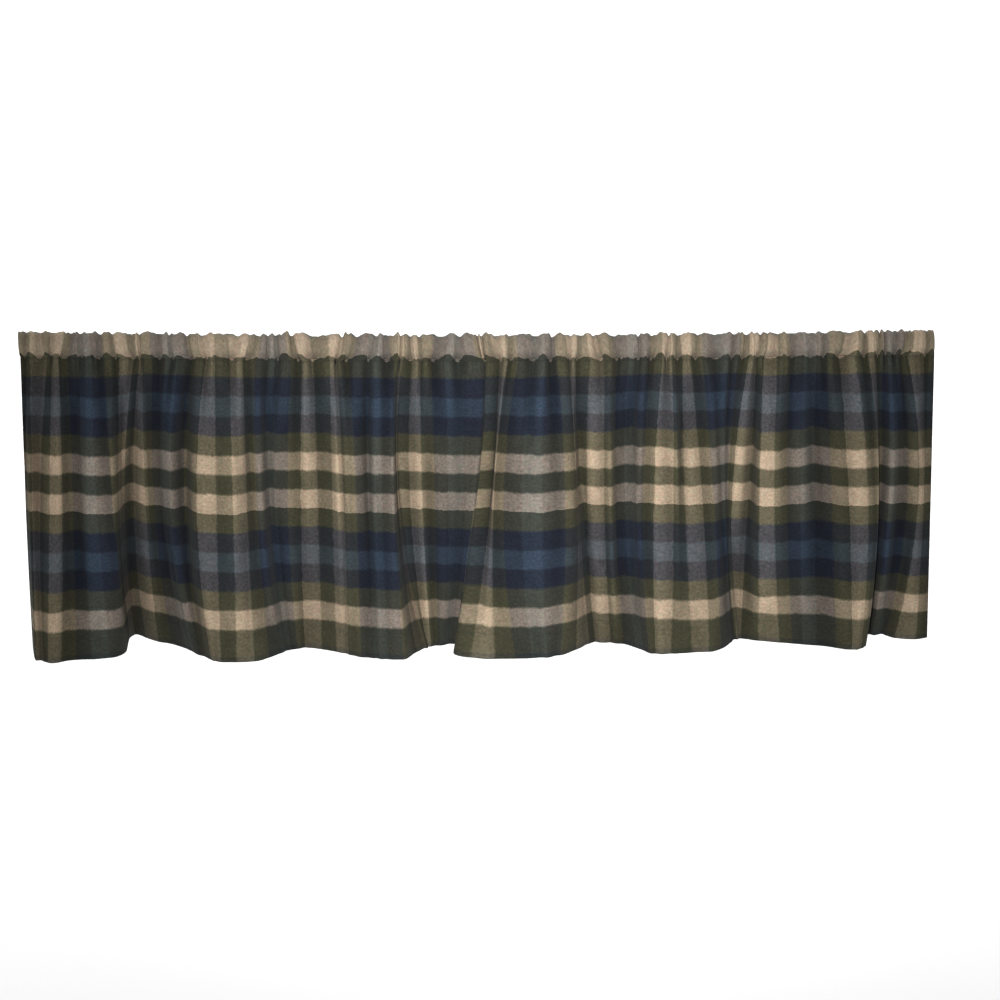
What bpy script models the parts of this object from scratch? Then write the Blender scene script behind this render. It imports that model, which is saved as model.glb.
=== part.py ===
"""A gathered window valance with a rod pocket, cut and sewn from one plaid cotton cloth.

Metres, +Z up. The origin is the middle of the top edge. +X runs along the window, -Y faces the room.
Places along the cut width of the cloth are counted in plaid bands, from the first cream stripe.
"""

from typing import NamedTuple

import bpy
import numpy as np

# Cut cloth
FLAT_WIDTH = 1.829
FIRST_BAND = -1.0
LAST_BAND = 82.0
BAND = FLAT_WIDTH / (LAST_BAND - FIRST_BAND)

# Finished valance
GATHERED_WIDTH = 1.12
POCKET_HEIGHT = 0.030
SKIRT_DROP = 0.373
HEM_HEIGHT = 0.032
CLOTH_THICKNESS = 0.0014
HEM_THICKNESS = 0.0024
SEAM_GAP = 0.0005

# The rod sags a little, so both ends of the top edge stand above its middle.
ROD_SAG = 0.006
# The drop shortens evenly towards the right end, by this share at the end.
DROP_TAPER = 0.010

# Gathers: drawn up along the stitch line, fading down the skirt
GATHER_BANDS = 1.43
GATHER_DEPTH = 0.0045
END_GATHER_SHARE = 0.55
HEM_GATHER_SHARE = 0.25
GATHER_FADE = 0.11
COLUMNS_A_GATHER = 4

# Heights below the stitch line at which the fold table gives x
FOLD_LEVELS = {"x_top": 0.036, "x_middle": 0.180, "x_low": 0.324}

MILLIMETRE = 0.001


class Fold(NamedTuple):
    """One fold line: its plaid band, x on the pocket's front and at three levels of the skirt, and the
    skirt's depth (mm, room side minus)."""

    band: float
    x_pocket: float
    x_top: float
    x_middle: float
    x_low: float
    y_middle: float
    y_hem: float


FOLDS = [
    Fold(-1.0, -564, -562, -562, -551, 4, -2),
    Fold(0.0, -550, -551, -553, -547, -7, -44),
    Fold(1.0, -537, -533, -541, -541, -8, -46),
    Fold(2.0, -528, -526, -530, -533, -8, -47),
    Fold(3.0, -513, -516, -515, -517, -10, -46),
    Fold(5.5, -484, -484, -488, -478, -8, -32),
    Fold(7.0, -461, -460, -468, -454, -7, -2),
    Fold(8.0, -447, -444, -455, -439, -6, 42),
    Fold(9.0, -435, -429, -443, -427, -2, 51),
    Fold(10.0, -427, -424, -434, -420, 17, 45),
    Fold(11.0, -420, -416, -415, -404, 5, 30),
    Fold(13.5, -384, -383, -388, -370, -3, -4),
    Fold(15.0, -358, -359, -366, -354, 3, -27),
    Fold(16.0, -342, -343, -350, -340, -14, -40),
    Fold(17.0, -327, -327, -326, -323, -17, -43),
    Fold(18.0, -309, -309, -306, -303, -17, -44),
    Fold(19.0, -289, -293, -289, -283, -8, -43),
    Fold(21.5, -258, -258, -259, -246, 2, -8),
    Fold(24.0, -228, -221, -222, -219, 2, 0),
    Fold(25.0, -208, -206, -201, -197, 3, -4),
    Fold(26.0, -190, -186, -183, -179, -6, -12),
    Fold(27.0, -172, -176, -169, -164, -14, -20),
    Fold(29.5, -134, -135, -132, -126, -11, -38),
    Fold(31.0, -114, -118, -114, -100, -11, -40),
    Fold(32.0, -102, -107, -104, -86, -5, -14),
    Fold(33.0, -96, -97, -92, -75, -4, -4),
    Fold(34.0, -86, -88, -85, -70, 2, 2),
    Fold(35.0, -79, -79, -74, -63, 5, 6),
    Fold(37.5, -38, -36, -32, -35, -7, 12),
    Fold(39.2, -14, -12, -9, -19, -2, 14),
    Fold(41.0, 3, 2, -5, -26, -8, -26),
    Fold(42.0, 18, 17, 6, -4, -4, -40),
    Fold(43.0, 29, 24, 16, 15, -6, -43),
    Fold(45.5, 63, 65, 61, 69, -16, -41),
    Fold(47.0, 85, 87, 95, 99, -12, -34),
    Fold(48.0, 101, 107, 119, 122, -2, -14),
    Fold(49.0, 114, 114, 127, 136, 3, 4),
    Fold(50.0, 128, 131, 134, 144, 9, 10),
    Fold(51.0, 143, 151, 155, 164, 11, 9),
    Fold(53.5, 182, 185, 187, 197, 7, -20),
    Fold(56.0, 221, 219, 216, 218, 0, -36),
    Fold(57.0, 231, 234, 239, 240, 3, -35),
    Fold(58.0, 244, 248, 255, 263, -2, -36),
    Fold(59.0, 256, 261, 277, 286, 3, -35),
    Fold(61.5, 293, 297, 305, 315, 10, -2),
    Fold(64.0, 328, 325, 317, 323, 8, 10),
    Fold(65.0, 338, 338, 336, 334, 11, 10),
    Fold(66.0, 348, 346, 347, 352, -7, 6),
    Fold(67.0, 364, 363, 365, 375, -11, -4),
    Fold(69.5, 402, 405, 408, 413, -6, -20),
    Fold(72.0, 442, 445, 459, 466, -6, -38),
    Fold(73.5, 465, 470, 487, 492, -8, -36),
    Fold(75.5, 487, 490, 497, 495, 4, 8),
    Fold(77.5, 506, 508, 515, 513, -4, 14),
    Fold(80.0, 531, 533, 547, 536, -3, 0),
    Fold(81.0, 545, 548, 554, 550, -5, -10),
    Fold(82.0, 556, 560, 564, 562, 0, -6),
]

# Rows of the skirt's mesh: heights below the stitch line, closer together where the gathers fade
SKIRT_LEVELS = [0.0, 0.012, 0.045, 0.105, 0.185, 0.265, SKIRT_DROP - HEM_HEIGHT, SKIRT_DROP]


class SectionPoint(NamedTuple):
    """One point of the pocket's section: outer face, inner face and how far a gather stands out (mm)."""

    y: float
    z: float
    y_inner: float
    z_inner: float
    gather: float


# The rod pocket's section, from the stitch line up the front, over the top and down the back
POCKET_SECTION = [
    SectionPoint(-1.6, -30.0, -0.5, -27.0, 0.0),
    SectionPoint(-7.6, -23.0, -6.2, -22.4, 2.0),
    SectionPoint(-10.6, -14.0, -9.2, -14.0, 3.6),
    SectionPoint(-8.0, -4.6, -6.8, -5.4, 3.4),
    SectionPoint(0.0, -0.8, 0.0, -2.2, 2.4),
    SectionPoint(7.6, -4.6, 6.4, -5.4, 3.0),
    SectionPoint(9.8, -14.0, 8.4, -14.0, 3.2),
    SectionPoint(7.0, -23.0, 5.6, -22.4, 2.0),
    SectionPoint(1.6, -30.0, 0.5, -27.0, 0.0),
]
# A gather reaches the back of the pocket this share of a gather further along than the front.
GATHER_LAG = 0.35


def smooth_through(knots, values, at):
    """Cubic curve through the knots that never overshoots them: slopes are harmonic means."""
    step = np.diff(knots)
    rise = np.diff(values) / step
    slopes = np.zeros_like(values)
    slopes[0], slopes[-1] = rise[0], rise[-1]
    before, after = rise[:-1], rise[1:]
    share_before = 2 * step[1:] + step[:-1]
    share_after = step[1:] + 2 * step[:-1]
    same_way = before * after > 0
    before = np.where(same_way, before, 1.0)
    after = np.where(same_way, after, 1.0)
    mean = (share_before + share_after) / (share_before / before + share_after / after)
    slopes[1:-1] = np.where(same_way, mean, 0.0)
    i = np.clip(np.searchsorted(knots, at) - 1, 0, len(knots) - 2)
    t = (at - knots[i]) / step[i]
    return (
        (2 * t**3 - 3 * t**2 + 1) * values[i]
        + (t**3 - 2 * t**2 + t) * step[i] * slopes[i]
        + (3 * t**2 - 2 * t**3) * values[i + 1]
        + (t**3 - t**2) * step[i] * slopes[i + 1]
    )


def fold_column(name, band):
    """A column of the fold table in metres, read smoothly at each band."""
    knots = np.array([fold.band for fold in FOLDS])
    values = np.array([getattr(fold, name) for fold in FOLDS]) * MILLIMETRE
    return smooth_through(knots, values, band)


def gather_phase(band):
    """Gathers counted from the left, unevenly spaced."""
    return band / GATHER_BANDS + 0.12 * np.sin(0.9 * band) + 0.08 * np.sin(2.3 * band + 1.0)


def gather_wave(band, lag=0.0):
    """The gathers as a wave from -1, a valley, to 1, a crest."""
    return np.cos(2 * np.pi * (gather_phase(band) - lag))


def gather_strength(band):
    """Share of the full gather depth: tighter in the middle, flatter towards both ends."""
    from_middle = np.abs(band - (FIRST_BAND + LAST_BAND) / 2) / ((LAST_BAND - FIRST_BAND) / 2)
    return 1 - (1 - END_GATHER_SHARE) * np.clip((from_middle - 0.45) / 0.55, 0, 1) ** 1.5


def columns():
    """Bands at which the mesh has a column: each gather's crest, valley and flanks, and both ends."""
    fine = np.linspace(FIRST_BAND, LAST_BAND, 4000)
    phase = gather_phase(fine) * COLUMNS_A_GATHER
    wanted = np.arange(np.ceil(phase[0] + 0.4), phase[-1] - 0.4)
    inner = np.interp(wanted, phase, fine)
    return np.concatenate([[FIRST_BAND], inner, [LAST_BAND]])


def rod_height(x):
    """Height of the top edge at x, above its lowest point in the middle."""
    return ROD_SAG * (2 * x / GATHERED_WIDTH) ** 2


def fold_x(band, drop):
    """x at plaid band and drop below the stitch line: a parabola through its three levels."""
    x = 0.0
    for name, level in FOLD_LEVELS.items():
        weight = 1.0
        for other in FOLD_LEVELS.values():
            if other != level:
                weight = weight * (drop - other) / (level - other)
        x = x + weight * fold_column(name, band)
    return x


def fold_depth(band, drop):
    """y at plaid band and drop: a parabola from nothing at the stitch line, by half height, to the hem."""
    share = drop / SKIRT_DROP
    at_middle = fold_column("y_middle", band) * 4 * share * (1 - share)
    at_hem = fold_column("y_hem", band) * share * (2 * share - 1)
    return at_middle + at_hem


def skirt_points(band, drop):
    """Middle surface of the skirt at plaid band and drop below the stitch line, as rows of x, y, z.

    The folds give x and y, and the gathers add a wave to y, which fades down the skirt.
    """
    x = fold_x(band, drop)
    fade = HEM_GATHER_SHARE + (1 - HEM_GATHER_SHARE) * np.exp(-drop / GATHER_FADE)
    y = fold_depth(band, drop) - GATHER_DEPTH * gather_wave(band) * gather_strength(band) * fade
    taper = 1 - DROP_TAPER * 2 * x / GATHERED_WIDTH
    z = -POCKET_HEIGHT - SEAM_GAP + rod_height(x) - drop * taper
    return np.stack([x, y, z], axis=-1)


def cloth_material(name, colour):
    """A plain matt cloth in one of the plaid's colours."""
    material = bpy.data.materials.new(name)
    material.use_nodes = True
    surface = material.node_tree.nodes["Principled BSDF"]
    surface.inputs["Base Color"].default_value = (*colour, 1.0)
    surface.inputs["Roughness"].default_value = 0.92
    surface.inputs["Metallic"].default_value = 0.0
    return material


def add_object(name, points, faces, material, collection):
    """An object from arrays of points and faces, smooth shaded."""
    mesh = bpy.data.meshes.new(name)
    mesh.from_pydata(points.tolist(), [], faces.tolist())
    mesh.update()
    mesh.shade_smooth()
    mesh.materials.append(material)
    piece = bpy.data.objects.new(name, mesh)
    collection.objects.link(piece)
    return piece


def grid_faces(rows, across, closed):
    """Quads of a grid of points, row by row; a closed grid joins each row's last point to its first."""
    columns_used = across if closed else across - 1
    row, column = np.meshgrid(np.arange(rows - 1), np.arange(columns_used), indexing="ij")
    here = row * across + column
    after = row * across + (column + 1) % across
    return np.stack([here, after, after + across, here + across], axis=-1).reshape(-1, 4)


def build_skirt(collection):
    """The hanging panel: one curved sheet, thickened, and twice as thick where its hem is turned up."""
    band = columns()
    levels = np.array(SKIRT_LEVELS)
    points = skirt_points(*np.meshgrid(band, levels)).reshape(-1, 3)
    faces = grid_faces(len(levels), len(band), closed=False)[:, ::-1]
    colour = (0.075, 0.085, 0.080)
    skirt = add_object("skirt", points, faces, cloth_material("skirt_cloth", colour), collection)
    weights = skirt.vertex_groups.new(name="turned_up")
    hem_rows = np.repeat(levels >= SKIRT_DROP - HEM_HEIGHT, len(band))
    weights.add(np.flatnonzero(hem_rows).tolist(), 1.0, "REPLACE")
    thicken = skirt.modifiers.new("cloth", "SOLIDIFY")
    thicken.thickness = HEM_THICKNESS
    thicken.offset = 0.0
    thicken.vertex_group = weights.name
    thicken.thickness_vertex_group = CLOTH_THICKNESS / HEM_THICKNESS
    return skirt


def pocket_loop(band, outer):
    """Points of the pocket's outer or inner face: one closed section for each band."""
    section = np.array(POCKET_SECTION) * MILLIMETRE
    y, z = (section[:, 0], section[:, 1]) if outer else (section[:, 2], section[:, 3])
    stand_out = section[:, 4]
    centre = -POCKET_HEIGHT / 2
    outward = np.stack([section[:, 0], section[:, 1] - centre], axis=-1)
    outward /= np.linalg.norm(outward, axis=1, keepdims=True)
    around = np.linspace(0, 1, len(section))[None, :]
    seam = fold_x(band, 0.0)[:, None]
    from_seam = fold_column("x_pocket", band)[:, None] - seam
    x = seam + from_seam * np.sin(np.pi * around)
    strength = gather_strength(band)[:, None]
    crest = strength * (1 + gather_wave(band[:, None], GATHER_LAG * around)) / 2 * stand_out[None, :]
    near_stitch = np.clip((-z - POCKET_HEIGHT / 2) / (POCKET_HEIGHT / 2), 0, 1) ** 2
    sway = -GATHER_DEPTH * gather_wave(band)[:, None] * strength * near_stitch[None, :]
    points = np.empty((len(band), len(section), 3))
    points[..., 0] = x
    points[..., 1] = y + outward[:, 0] * crest + sway
    points[..., 2] = z + outward[:, 1] * crest + rod_height(x)
    return points


def build_pocket(collection):
    """The rod pocket: a gathered sleeve, open at both ends, closed below by its stitch line."""
    band = columns()
    outer = pocket_loop(band, outer=True)
    inner = pocket_loop(band, outer=False)
    around = len(POCKET_SECTION)
    outer_faces = grid_faces(len(band), around, closed=True)
    inner_faces = outer_faces[:, ::-1] + len(band) * around
    here = np.arange(around)
    after = (here + 1) % around
    inside = len(band) * around
    left = np.stack([here, after, after + inside, here + inside], axis=-1)
    last = (len(band) - 1) * around
    right = left[:, ::-1] + last
    points = np.concatenate([outer.reshape(-1, 3), inner.reshape(-1, 3)])
    faces = np.concatenate([outer_faces[:, ::-1], inner_faces[:, ::-1], left, right])
    colour = (0.30, 0.26, 0.20)
    return add_object("rod_pocket", points, faces, cloth_material("pocket_cloth", colour), collection)


def main():
    """Clears the scene, then builds the skirt and its rod pocket."""
    for piece in list(bpy.data.objects):
        bpy.data.objects.remove(piece, do_unlink=True)
    collection = bpy.data.collections.new("window_valance")
    bpy.context.scene.collection.children.link(collection)
    build_skirt(collection)
    build_pocket(collection)


main()
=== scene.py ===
"""The looks of a gathered window valance of plaid brushed cotton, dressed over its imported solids.

Metres, +Z up. The origin is the middle of the valance's top edge, +X runs along the window and -Y
faces the room. A place on the cloth is a pair: its plaid band, counted along the cut width from the
first cream stripe, and its drop in metres below the pocket's stitch line.
"""

from __future__ import annotations

import logging
import math
from dataclasses import dataclass, field
from enum import Enum

import bpy
import numpy as np
from mathutils import Matrix, Vector


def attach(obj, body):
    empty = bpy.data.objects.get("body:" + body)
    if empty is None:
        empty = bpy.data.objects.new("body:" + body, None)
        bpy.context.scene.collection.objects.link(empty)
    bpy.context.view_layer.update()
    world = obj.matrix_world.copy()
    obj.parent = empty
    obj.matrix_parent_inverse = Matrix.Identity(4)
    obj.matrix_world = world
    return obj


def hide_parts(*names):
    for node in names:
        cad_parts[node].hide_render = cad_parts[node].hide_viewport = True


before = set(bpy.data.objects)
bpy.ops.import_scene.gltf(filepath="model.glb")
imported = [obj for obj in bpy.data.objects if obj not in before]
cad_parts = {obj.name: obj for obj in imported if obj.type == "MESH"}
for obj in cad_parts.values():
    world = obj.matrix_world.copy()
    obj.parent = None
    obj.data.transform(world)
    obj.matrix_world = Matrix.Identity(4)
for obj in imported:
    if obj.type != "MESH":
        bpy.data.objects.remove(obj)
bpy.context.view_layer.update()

log = logging.getLogger("window_valance")

MILLIMETRE = 0.001
BODY = "root"
UV_NAME = "cloth_uv"
PAINTED_LIGHT_NAME = "painted_light"

Socket = bpy.types.NodeSocket
Triple = tuple[float, float, float]


# ---------------------------------------------------------------------------------------------
# The cut cloth and its folds
# ---------------------------------------------------------------------------------------------


@dataclass(frozen=True)
class CutCloth:
    """The cloth as it was cut and sewn, before it was gathered.

    Attributes:
        width: cut width in metres.
        first_band: plaid band at the left edge.
        last_band: plaid band at the right edge.
        weft_band: height of one stripe that runs across the valance.
        drop: height of the skirt below the stitch line.
        hem: height of the turned-up hem.
        thickness: thickness of one layer.
    """

    width: float = 1.829
    first_band: float = -1.0
    last_band: float = 82.0
    weft_band: float = 0.024
    drop: float = 0.373
    hem: float = 0.032
    thickness: float = 0.0012

    @property
    def band(self) -> float:
        """Width of one plaid band in metres."""
        return self.width / (self.last_band - self.first_band)

    def across(self, band: np.ndarray) -> np.ndarray:
        """Distance of a band from the cloth's left edge, in metres of cut cloth."""
        return (band - self.first_band) * self.band

    def from_middle(self, band: np.ndarray) -> np.ndarray:
        """Distance of a band from the middle one, as a share of half the cloth: 0 to 1."""
        middle = (self.first_band + self.last_band) / 2
        return np.abs(band - middle) / (self.last_band - middle)


@dataclass(frozen=True)
class Fold:
    """One fold line of the valance, in millimetres; towards the room is minus.

    Attributes:
        band: its plaid band.
        x_pocket: x on the front of the rod pocket.
        x_top: x a little below the stitch line.
        x_middle: x at half the drop.
        x_low: x near the hem.
        y_middle: depth at half height.
        y_hem: depth at the hem.
        rise: how far the plaid has been drawn up there.
    """

    band: float
    x_pocket: float
    x_top: float
    x_middle: float
    x_low: float
    y_middle: float
    y_hem: float
    rise: float


FOLDS = [
    Fold(-1.0, -564, -562, -560, -556, 4, -2, -1),
    Fold(0.0, -550, -551, -552, -550, -7, -44, -1),
    Fold(1.0, -537, -533, -541, -541, -8, -46, -1),
    Fold(2.0, -528, -526, -530, -533, -8, -47, -1),
    Fold(3.0, -513, -516, -515, -517, -10, -46, -1),
    Fold(5.5, -484, -484, -482, -474, -8, -32, -1),
    Fold(7.0, -461, -460, -453, -443, -8, -6, -1),
    Fold(8.0, -447, -444, -446, -440, -4, 42, 1),
    Fold(9.0, -435, -430, -440, -435, 4, 51, 5),
    Fold(10.0, -427, -422, -428, -421, 17, 45, 6),
    Fold(11.0, -420, -415, -413, -404, 6, 30, 5),
    Fold(13.5, -384, -383, -388, -370, -3, -4, 5),
    Fold(15.0, -358, -359, -366, -354, 3, -27, 4),
    Fold(16.0, -347, -343, -350, -340, -14, -40, 3),
    Fold(17.0, -327, -327, -326, -323, -17, -43, 3),
    Fold(18.0, -309, -309, -306, -303, -17, -44, 3),
    Fold(19.0, -289, -293, -289, -283, -8, -43, 2),
    Fold(21.5, -258, -258, -259, -246, 2, -8, 1),
    Fold(24.0, -228, -221, -222, -219, 2, 0, 1),
    Fold(25.0, -208, -206, -201, -197, 3, -4, 2),
    Fold(26.0, -190, -186, -183, -179, -6, -12, 3),
    Fold(27.0, -172, -176, -169, -164, -14, -20, 3),
    Fold(29.5, -134, -135, -132, -126, -11, -38, 2),
    Fold(31.0, -114, -109, -106, -99, -11, -40, 2),
    Fold(32.0, -102, -105, -103, -87, 1, -14, 2),
    Fold(33.0, -96, -102, -101, -77, -3, -4, 2),
    Fold(34.0, -86, -88, -87, -73, 2, 2, 1),
    Fold(35.0, -79, -76, -72, -63, 5, 6, 2),
    Fold(37.5, -38, -36, -32, -35, -7, 12, 1),
    Fold(39.2, -15, 3, -5, -20, -1, 14, 1),
    Fold(41.3, 4, 3, -8, -25, -10, -26, 4),
    Fold(42.0, 12, 20, 13, -4, -6, -40, 4),
    Fold(43.0, 27, 26, 16, 16, -6, -43, 2),
    Fold(45.5, 63, 65, 61, 69, -16, -41, 3),
    Fold(47.0, 85, 95, 104, 103, -12, -34, 4),
    Fold(48.0, 101, 109, 119, 122, -2, -14, 3),
    Fold(49.0, 114, 115, 122, 135, 3, 4, 3),
    Fold(50.0, 128, 131, 134, 144, 9, 10, 3),
    Fold(51.0, 143, 151, 155, 164, 11, 9, 2),
    Fold(53.5, 182, 185, 187, 197, 7, -20, 5),
    Fold(56.0, 215, 219, 216, 218, 0, -36, 7),
    Fold(57.0, 231, 235, 241, 241, 3, -35, 5),
    Fold(58.0, 244, 248, 255, 263, -2, -36, 3),
    Fold(59.0, 256, 261, 277, 286, 3, -35, 3),
    Fold(61.5, 293, 297, 305, 315, 10, -2, 5),
    Fold(64.0, 326, 324, 315, 322, 8, 10, 6),
    Fold(65.0, 338, 338, 336, 334, 11, 10, 4),
    Fold(66.0, 348, 346, 347, 352, -7, 6, 3),
    Fold(67.0, 364, 363, 365, 375, -11, -4, 3),
    Fold(69.5, 402, 405, 408, 413, -6, -20, 4),
    Fold(72.0, 442, 445, 459, 466, -6, -38, 1),
    Fold(73.9, 471, 482, 496, 491, -8, -29, 1),
    Fold(75.5, 487, 492, 499, 495, 4, 8, 1),
    Fold(77.5, 506, 508, 515, 513, -4, 14, 0),
    Fold(80.0, 531, 533, 547, 536, -3, 0, -1),
    Fold(81.0, 545, 548, 554, 554, -5, -10, -1),
    Fold(82.0, 556, 560, 564, 567, 0, -6, -1),
]


def smooth_through(knots: np.ndarray, values: np.ndarray, at: np.ndarray) -> np.ndarray:
    """Cubic curve through the knots that never overshoots them.

    The slope at a knot is the weighted harmonic mean of the rises on its two sides, and nothing
    where they differ in sign.

    Args:
        knots: places of the knots, rising.
        values: values at the knots.
        at: places at which the curve is read.

    Returns:
        The curve's values, in the shape of `at`.
    """
    step = np.diff(knots)
    rise = np.diff(values) / step
    slopes = np.zeros_like(values)
    slopes[0], slopes[-1] = rise[0], rise[-1]
    before, after = rise[:-1], rise[1:]
    share_before = 2 * step[1:] + step[:-1]
    share_after = step[1:] + 2 * step[:-1]
    same_way = before * after > 0
    before = np.where(same_way, before, 1.0)
    after = np.where(same_way, after, 1.0)
    mean = (share_before + share_after) / (share_before / before + share_after / after)
    slopes[1:-1] = np.where(same_way, mean, 0.0)
    i = np.clip(np.searchsorted(knots, at) - 1, 0, len(knots) - 2)
    t = (at - knots[i]) / step[i]
    return (
        (2 * t**3 - 3 * t**2 + 1) * values[i]
        + (t**3 - 2 * t**2 + t) * step[i] * slopes[i]
        + (3 * t**2 - 2 * t**3) * values[i + 1]
        + (t**3 - t**2) * step[i] * slopes[i + 1]
    )


def smooth_step(low: float, high: float, at: np.ndarray) -> np.ndarray:
    """0 below `low`, 1 above `high` and 3t² - 2t³ between them."""
    t = np.clip((at - low) / (high - low), 0.0, 1.0)
    return t * t * (3 - 2 * t)


@dataclass(frozen=True)
class FoldTable:
    """The skirt's main folds, read smoothly at any place on the cloth.

    Attributes:
        rows: the folds, from the left edge to the right.
        drop: the skirt's whole drop.
        levels: the drop at which each column of x is given.
        slope_step: bands over which a slope is measured.
        crowded_run: x for each band at which a small fold has no room.
        roomy_run: x for each band at which it has all its room.
        seam_zone: drop over which the room narrows, from all of it at the stitch line.
        rise_start: drop at which the plaid's rise is whole.
        rise_end: drops between which it eases out above the hem.
    """

    rows: tuple[Fold, ...]
    drop: float
    levels: dict[str, float] = field(
        default_factory=lambda: {"x_top": 0.036, "x_middle": 0.180, "x_low": 0.324}
    )
    slope_step: float = 0.8
    crowded_run: float = 0.003
    roomy_run: float = 0.014
    seam_zone: float = 0.02
    rise_start: float = 0.035
    rise_end: tuple[float, float] = (0.334, 0.358)

    def column(self, name: str, band: np.ndarray) -> np.ndarray:
        """A column of the table, read smoothly.

        Args:
            name: the column's name.
            band: plaid bands.

        Returns:
            Metres, in the shape of `band`.
        """
        knots = np.array([row.band for row in self.rows])
        values = np.array([getattr(row, name) for row in self.rows]) * MILLIMETRE
        return smooth_through(knots, values, band)

    def x(self, band: np.ndarray, drop: np.ndarray) -> np.ndarray:
        """x of the skirt: at each band a parabola in the drop, through the three levels.

        Args:
            band: plaid bands.
            drop: drops in metres.

        Returns:
            x in metres.
        """
        x = np.zeros(np.broadcast(band, drop).shape)
        for name, level in self.levels.items():
            weight = np.ones_like(x)
            for other in self.levels.values():
                if other != level:
                    weight = weight * (drop - other) / (level - other)
            x = x + weight * self.column(name, band)
        return x

    def depth(self, band: np.ndarray, drop: np.ndarray) -> np.ndarray:
        """y of the main folds: a parabola in the drop, through 0, the half-height depth and the hem's.

        Args:
            band: plaid bands.
            drop: drops in metres.

        Returns:
            y in metres.
        """
        share = np.maximum(drop, 0.0) / self.drop
        at_middle = self.column("y_middle", band) * 4 * share * (1 - share)
        at_hem = self.column("y_hem", band) * share * (2 * share - 1)
        return at_middle + at_hem

    def run(self, band: np.ndarray, drop: np.ndarray) -> np.ndarray:
        """x gained over one slope step round the band, in metres."""
        half = self.slope_step / 2
        return self.x(band + half, drop) - self.x(band - half, drop)

    def slack(self, band: np.ndarray, drop: np.ndarray, width: float) -> np.ndarray:
        """Share of the cloth that the main folds leave over for smaller ones.

        Cloth doesn't stretch: where one band of the given cut width runs over a shorter way in x and
        y, the rest must ripple. The share is the square root of 1 less that way squared over the
        width squared.

        Args:
            band: plaid bands.
            drop: drops in metres.
            width: width of one band in metres.

        Returns:
            Shares from 0 to 1.
        """
        half = self.slope_step / 2
        rise = self.depth(band + half, drop) - self.depth(band - half, drop)
        way = (self.run(band, drop) ** 2 + rise**2) / (self.slope_step * width) ** 2
        return np.sqrt(np.clip(1 - way, 0, 1))

    def room(self, band: np.ndarray, drop: np.ndarray) -> np.ndarray:
        """Share of a small fold's depth that fits: little where the bands crowd together.

        It eases from nothing at the crowded run to all at the roomy one, and is 1 at the stitch line.

        Args:
            band: plaid bands.
            drop: drops in metres.

        Returns:
            Shares from 0 to 1.
        """
        run = self.run(band, drop) / self.slope_step
        crowded = 1 - smooth_step(self.crowded_run, self.roomy_run, run)
        return 1 - crowded * smooth_step(0.0, self.seam_zone, drop)

    def rise(self, band: np.ndarray, drop: np.ndarray) -> np.ndarray:
        """How far up the plaid has been drawn: the table's rise, eased in at the top and out at the hem."""
        eased = smooth_step(0.0, self.rise_start, drop) * (1 - smooth_step(*self.rise_end, drop))
        return self.column("rise", band) * eased


class Draw(Enum):
    """Which set of random numbers makes the gathers differ."""

    CRUMPLE = 1
    FADE = 2
    WANDER = 3
    HEIGHT = 4
    RIPPLE_WANDER = 5
    RIPPLE = 6
    SMALL_RIPPLE_WANDER = 8
    SMALL_RIPPLE = 9
    RUFFLE = 10


@dataclass(frozen=True)
class Wrinkle:
    """One of the sines that add up to the fine wrinkles.

    Attributes:
        rate: radians for each band.
        drift: radians for each metre of drop.
        start: angle at band 0 on the stitch line.
    """

    rate: float
    drift: float
    start: float


WRINKLES = [
    Wrinkle(9.1, 22.0, 0.3),
    Wrinkle(12.7, -31.0, 2.1),
    Wrinkle(6.3, 17.0, 4.0),
    Wrinkle(16.9, -9.0, 1.2),
]


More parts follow.
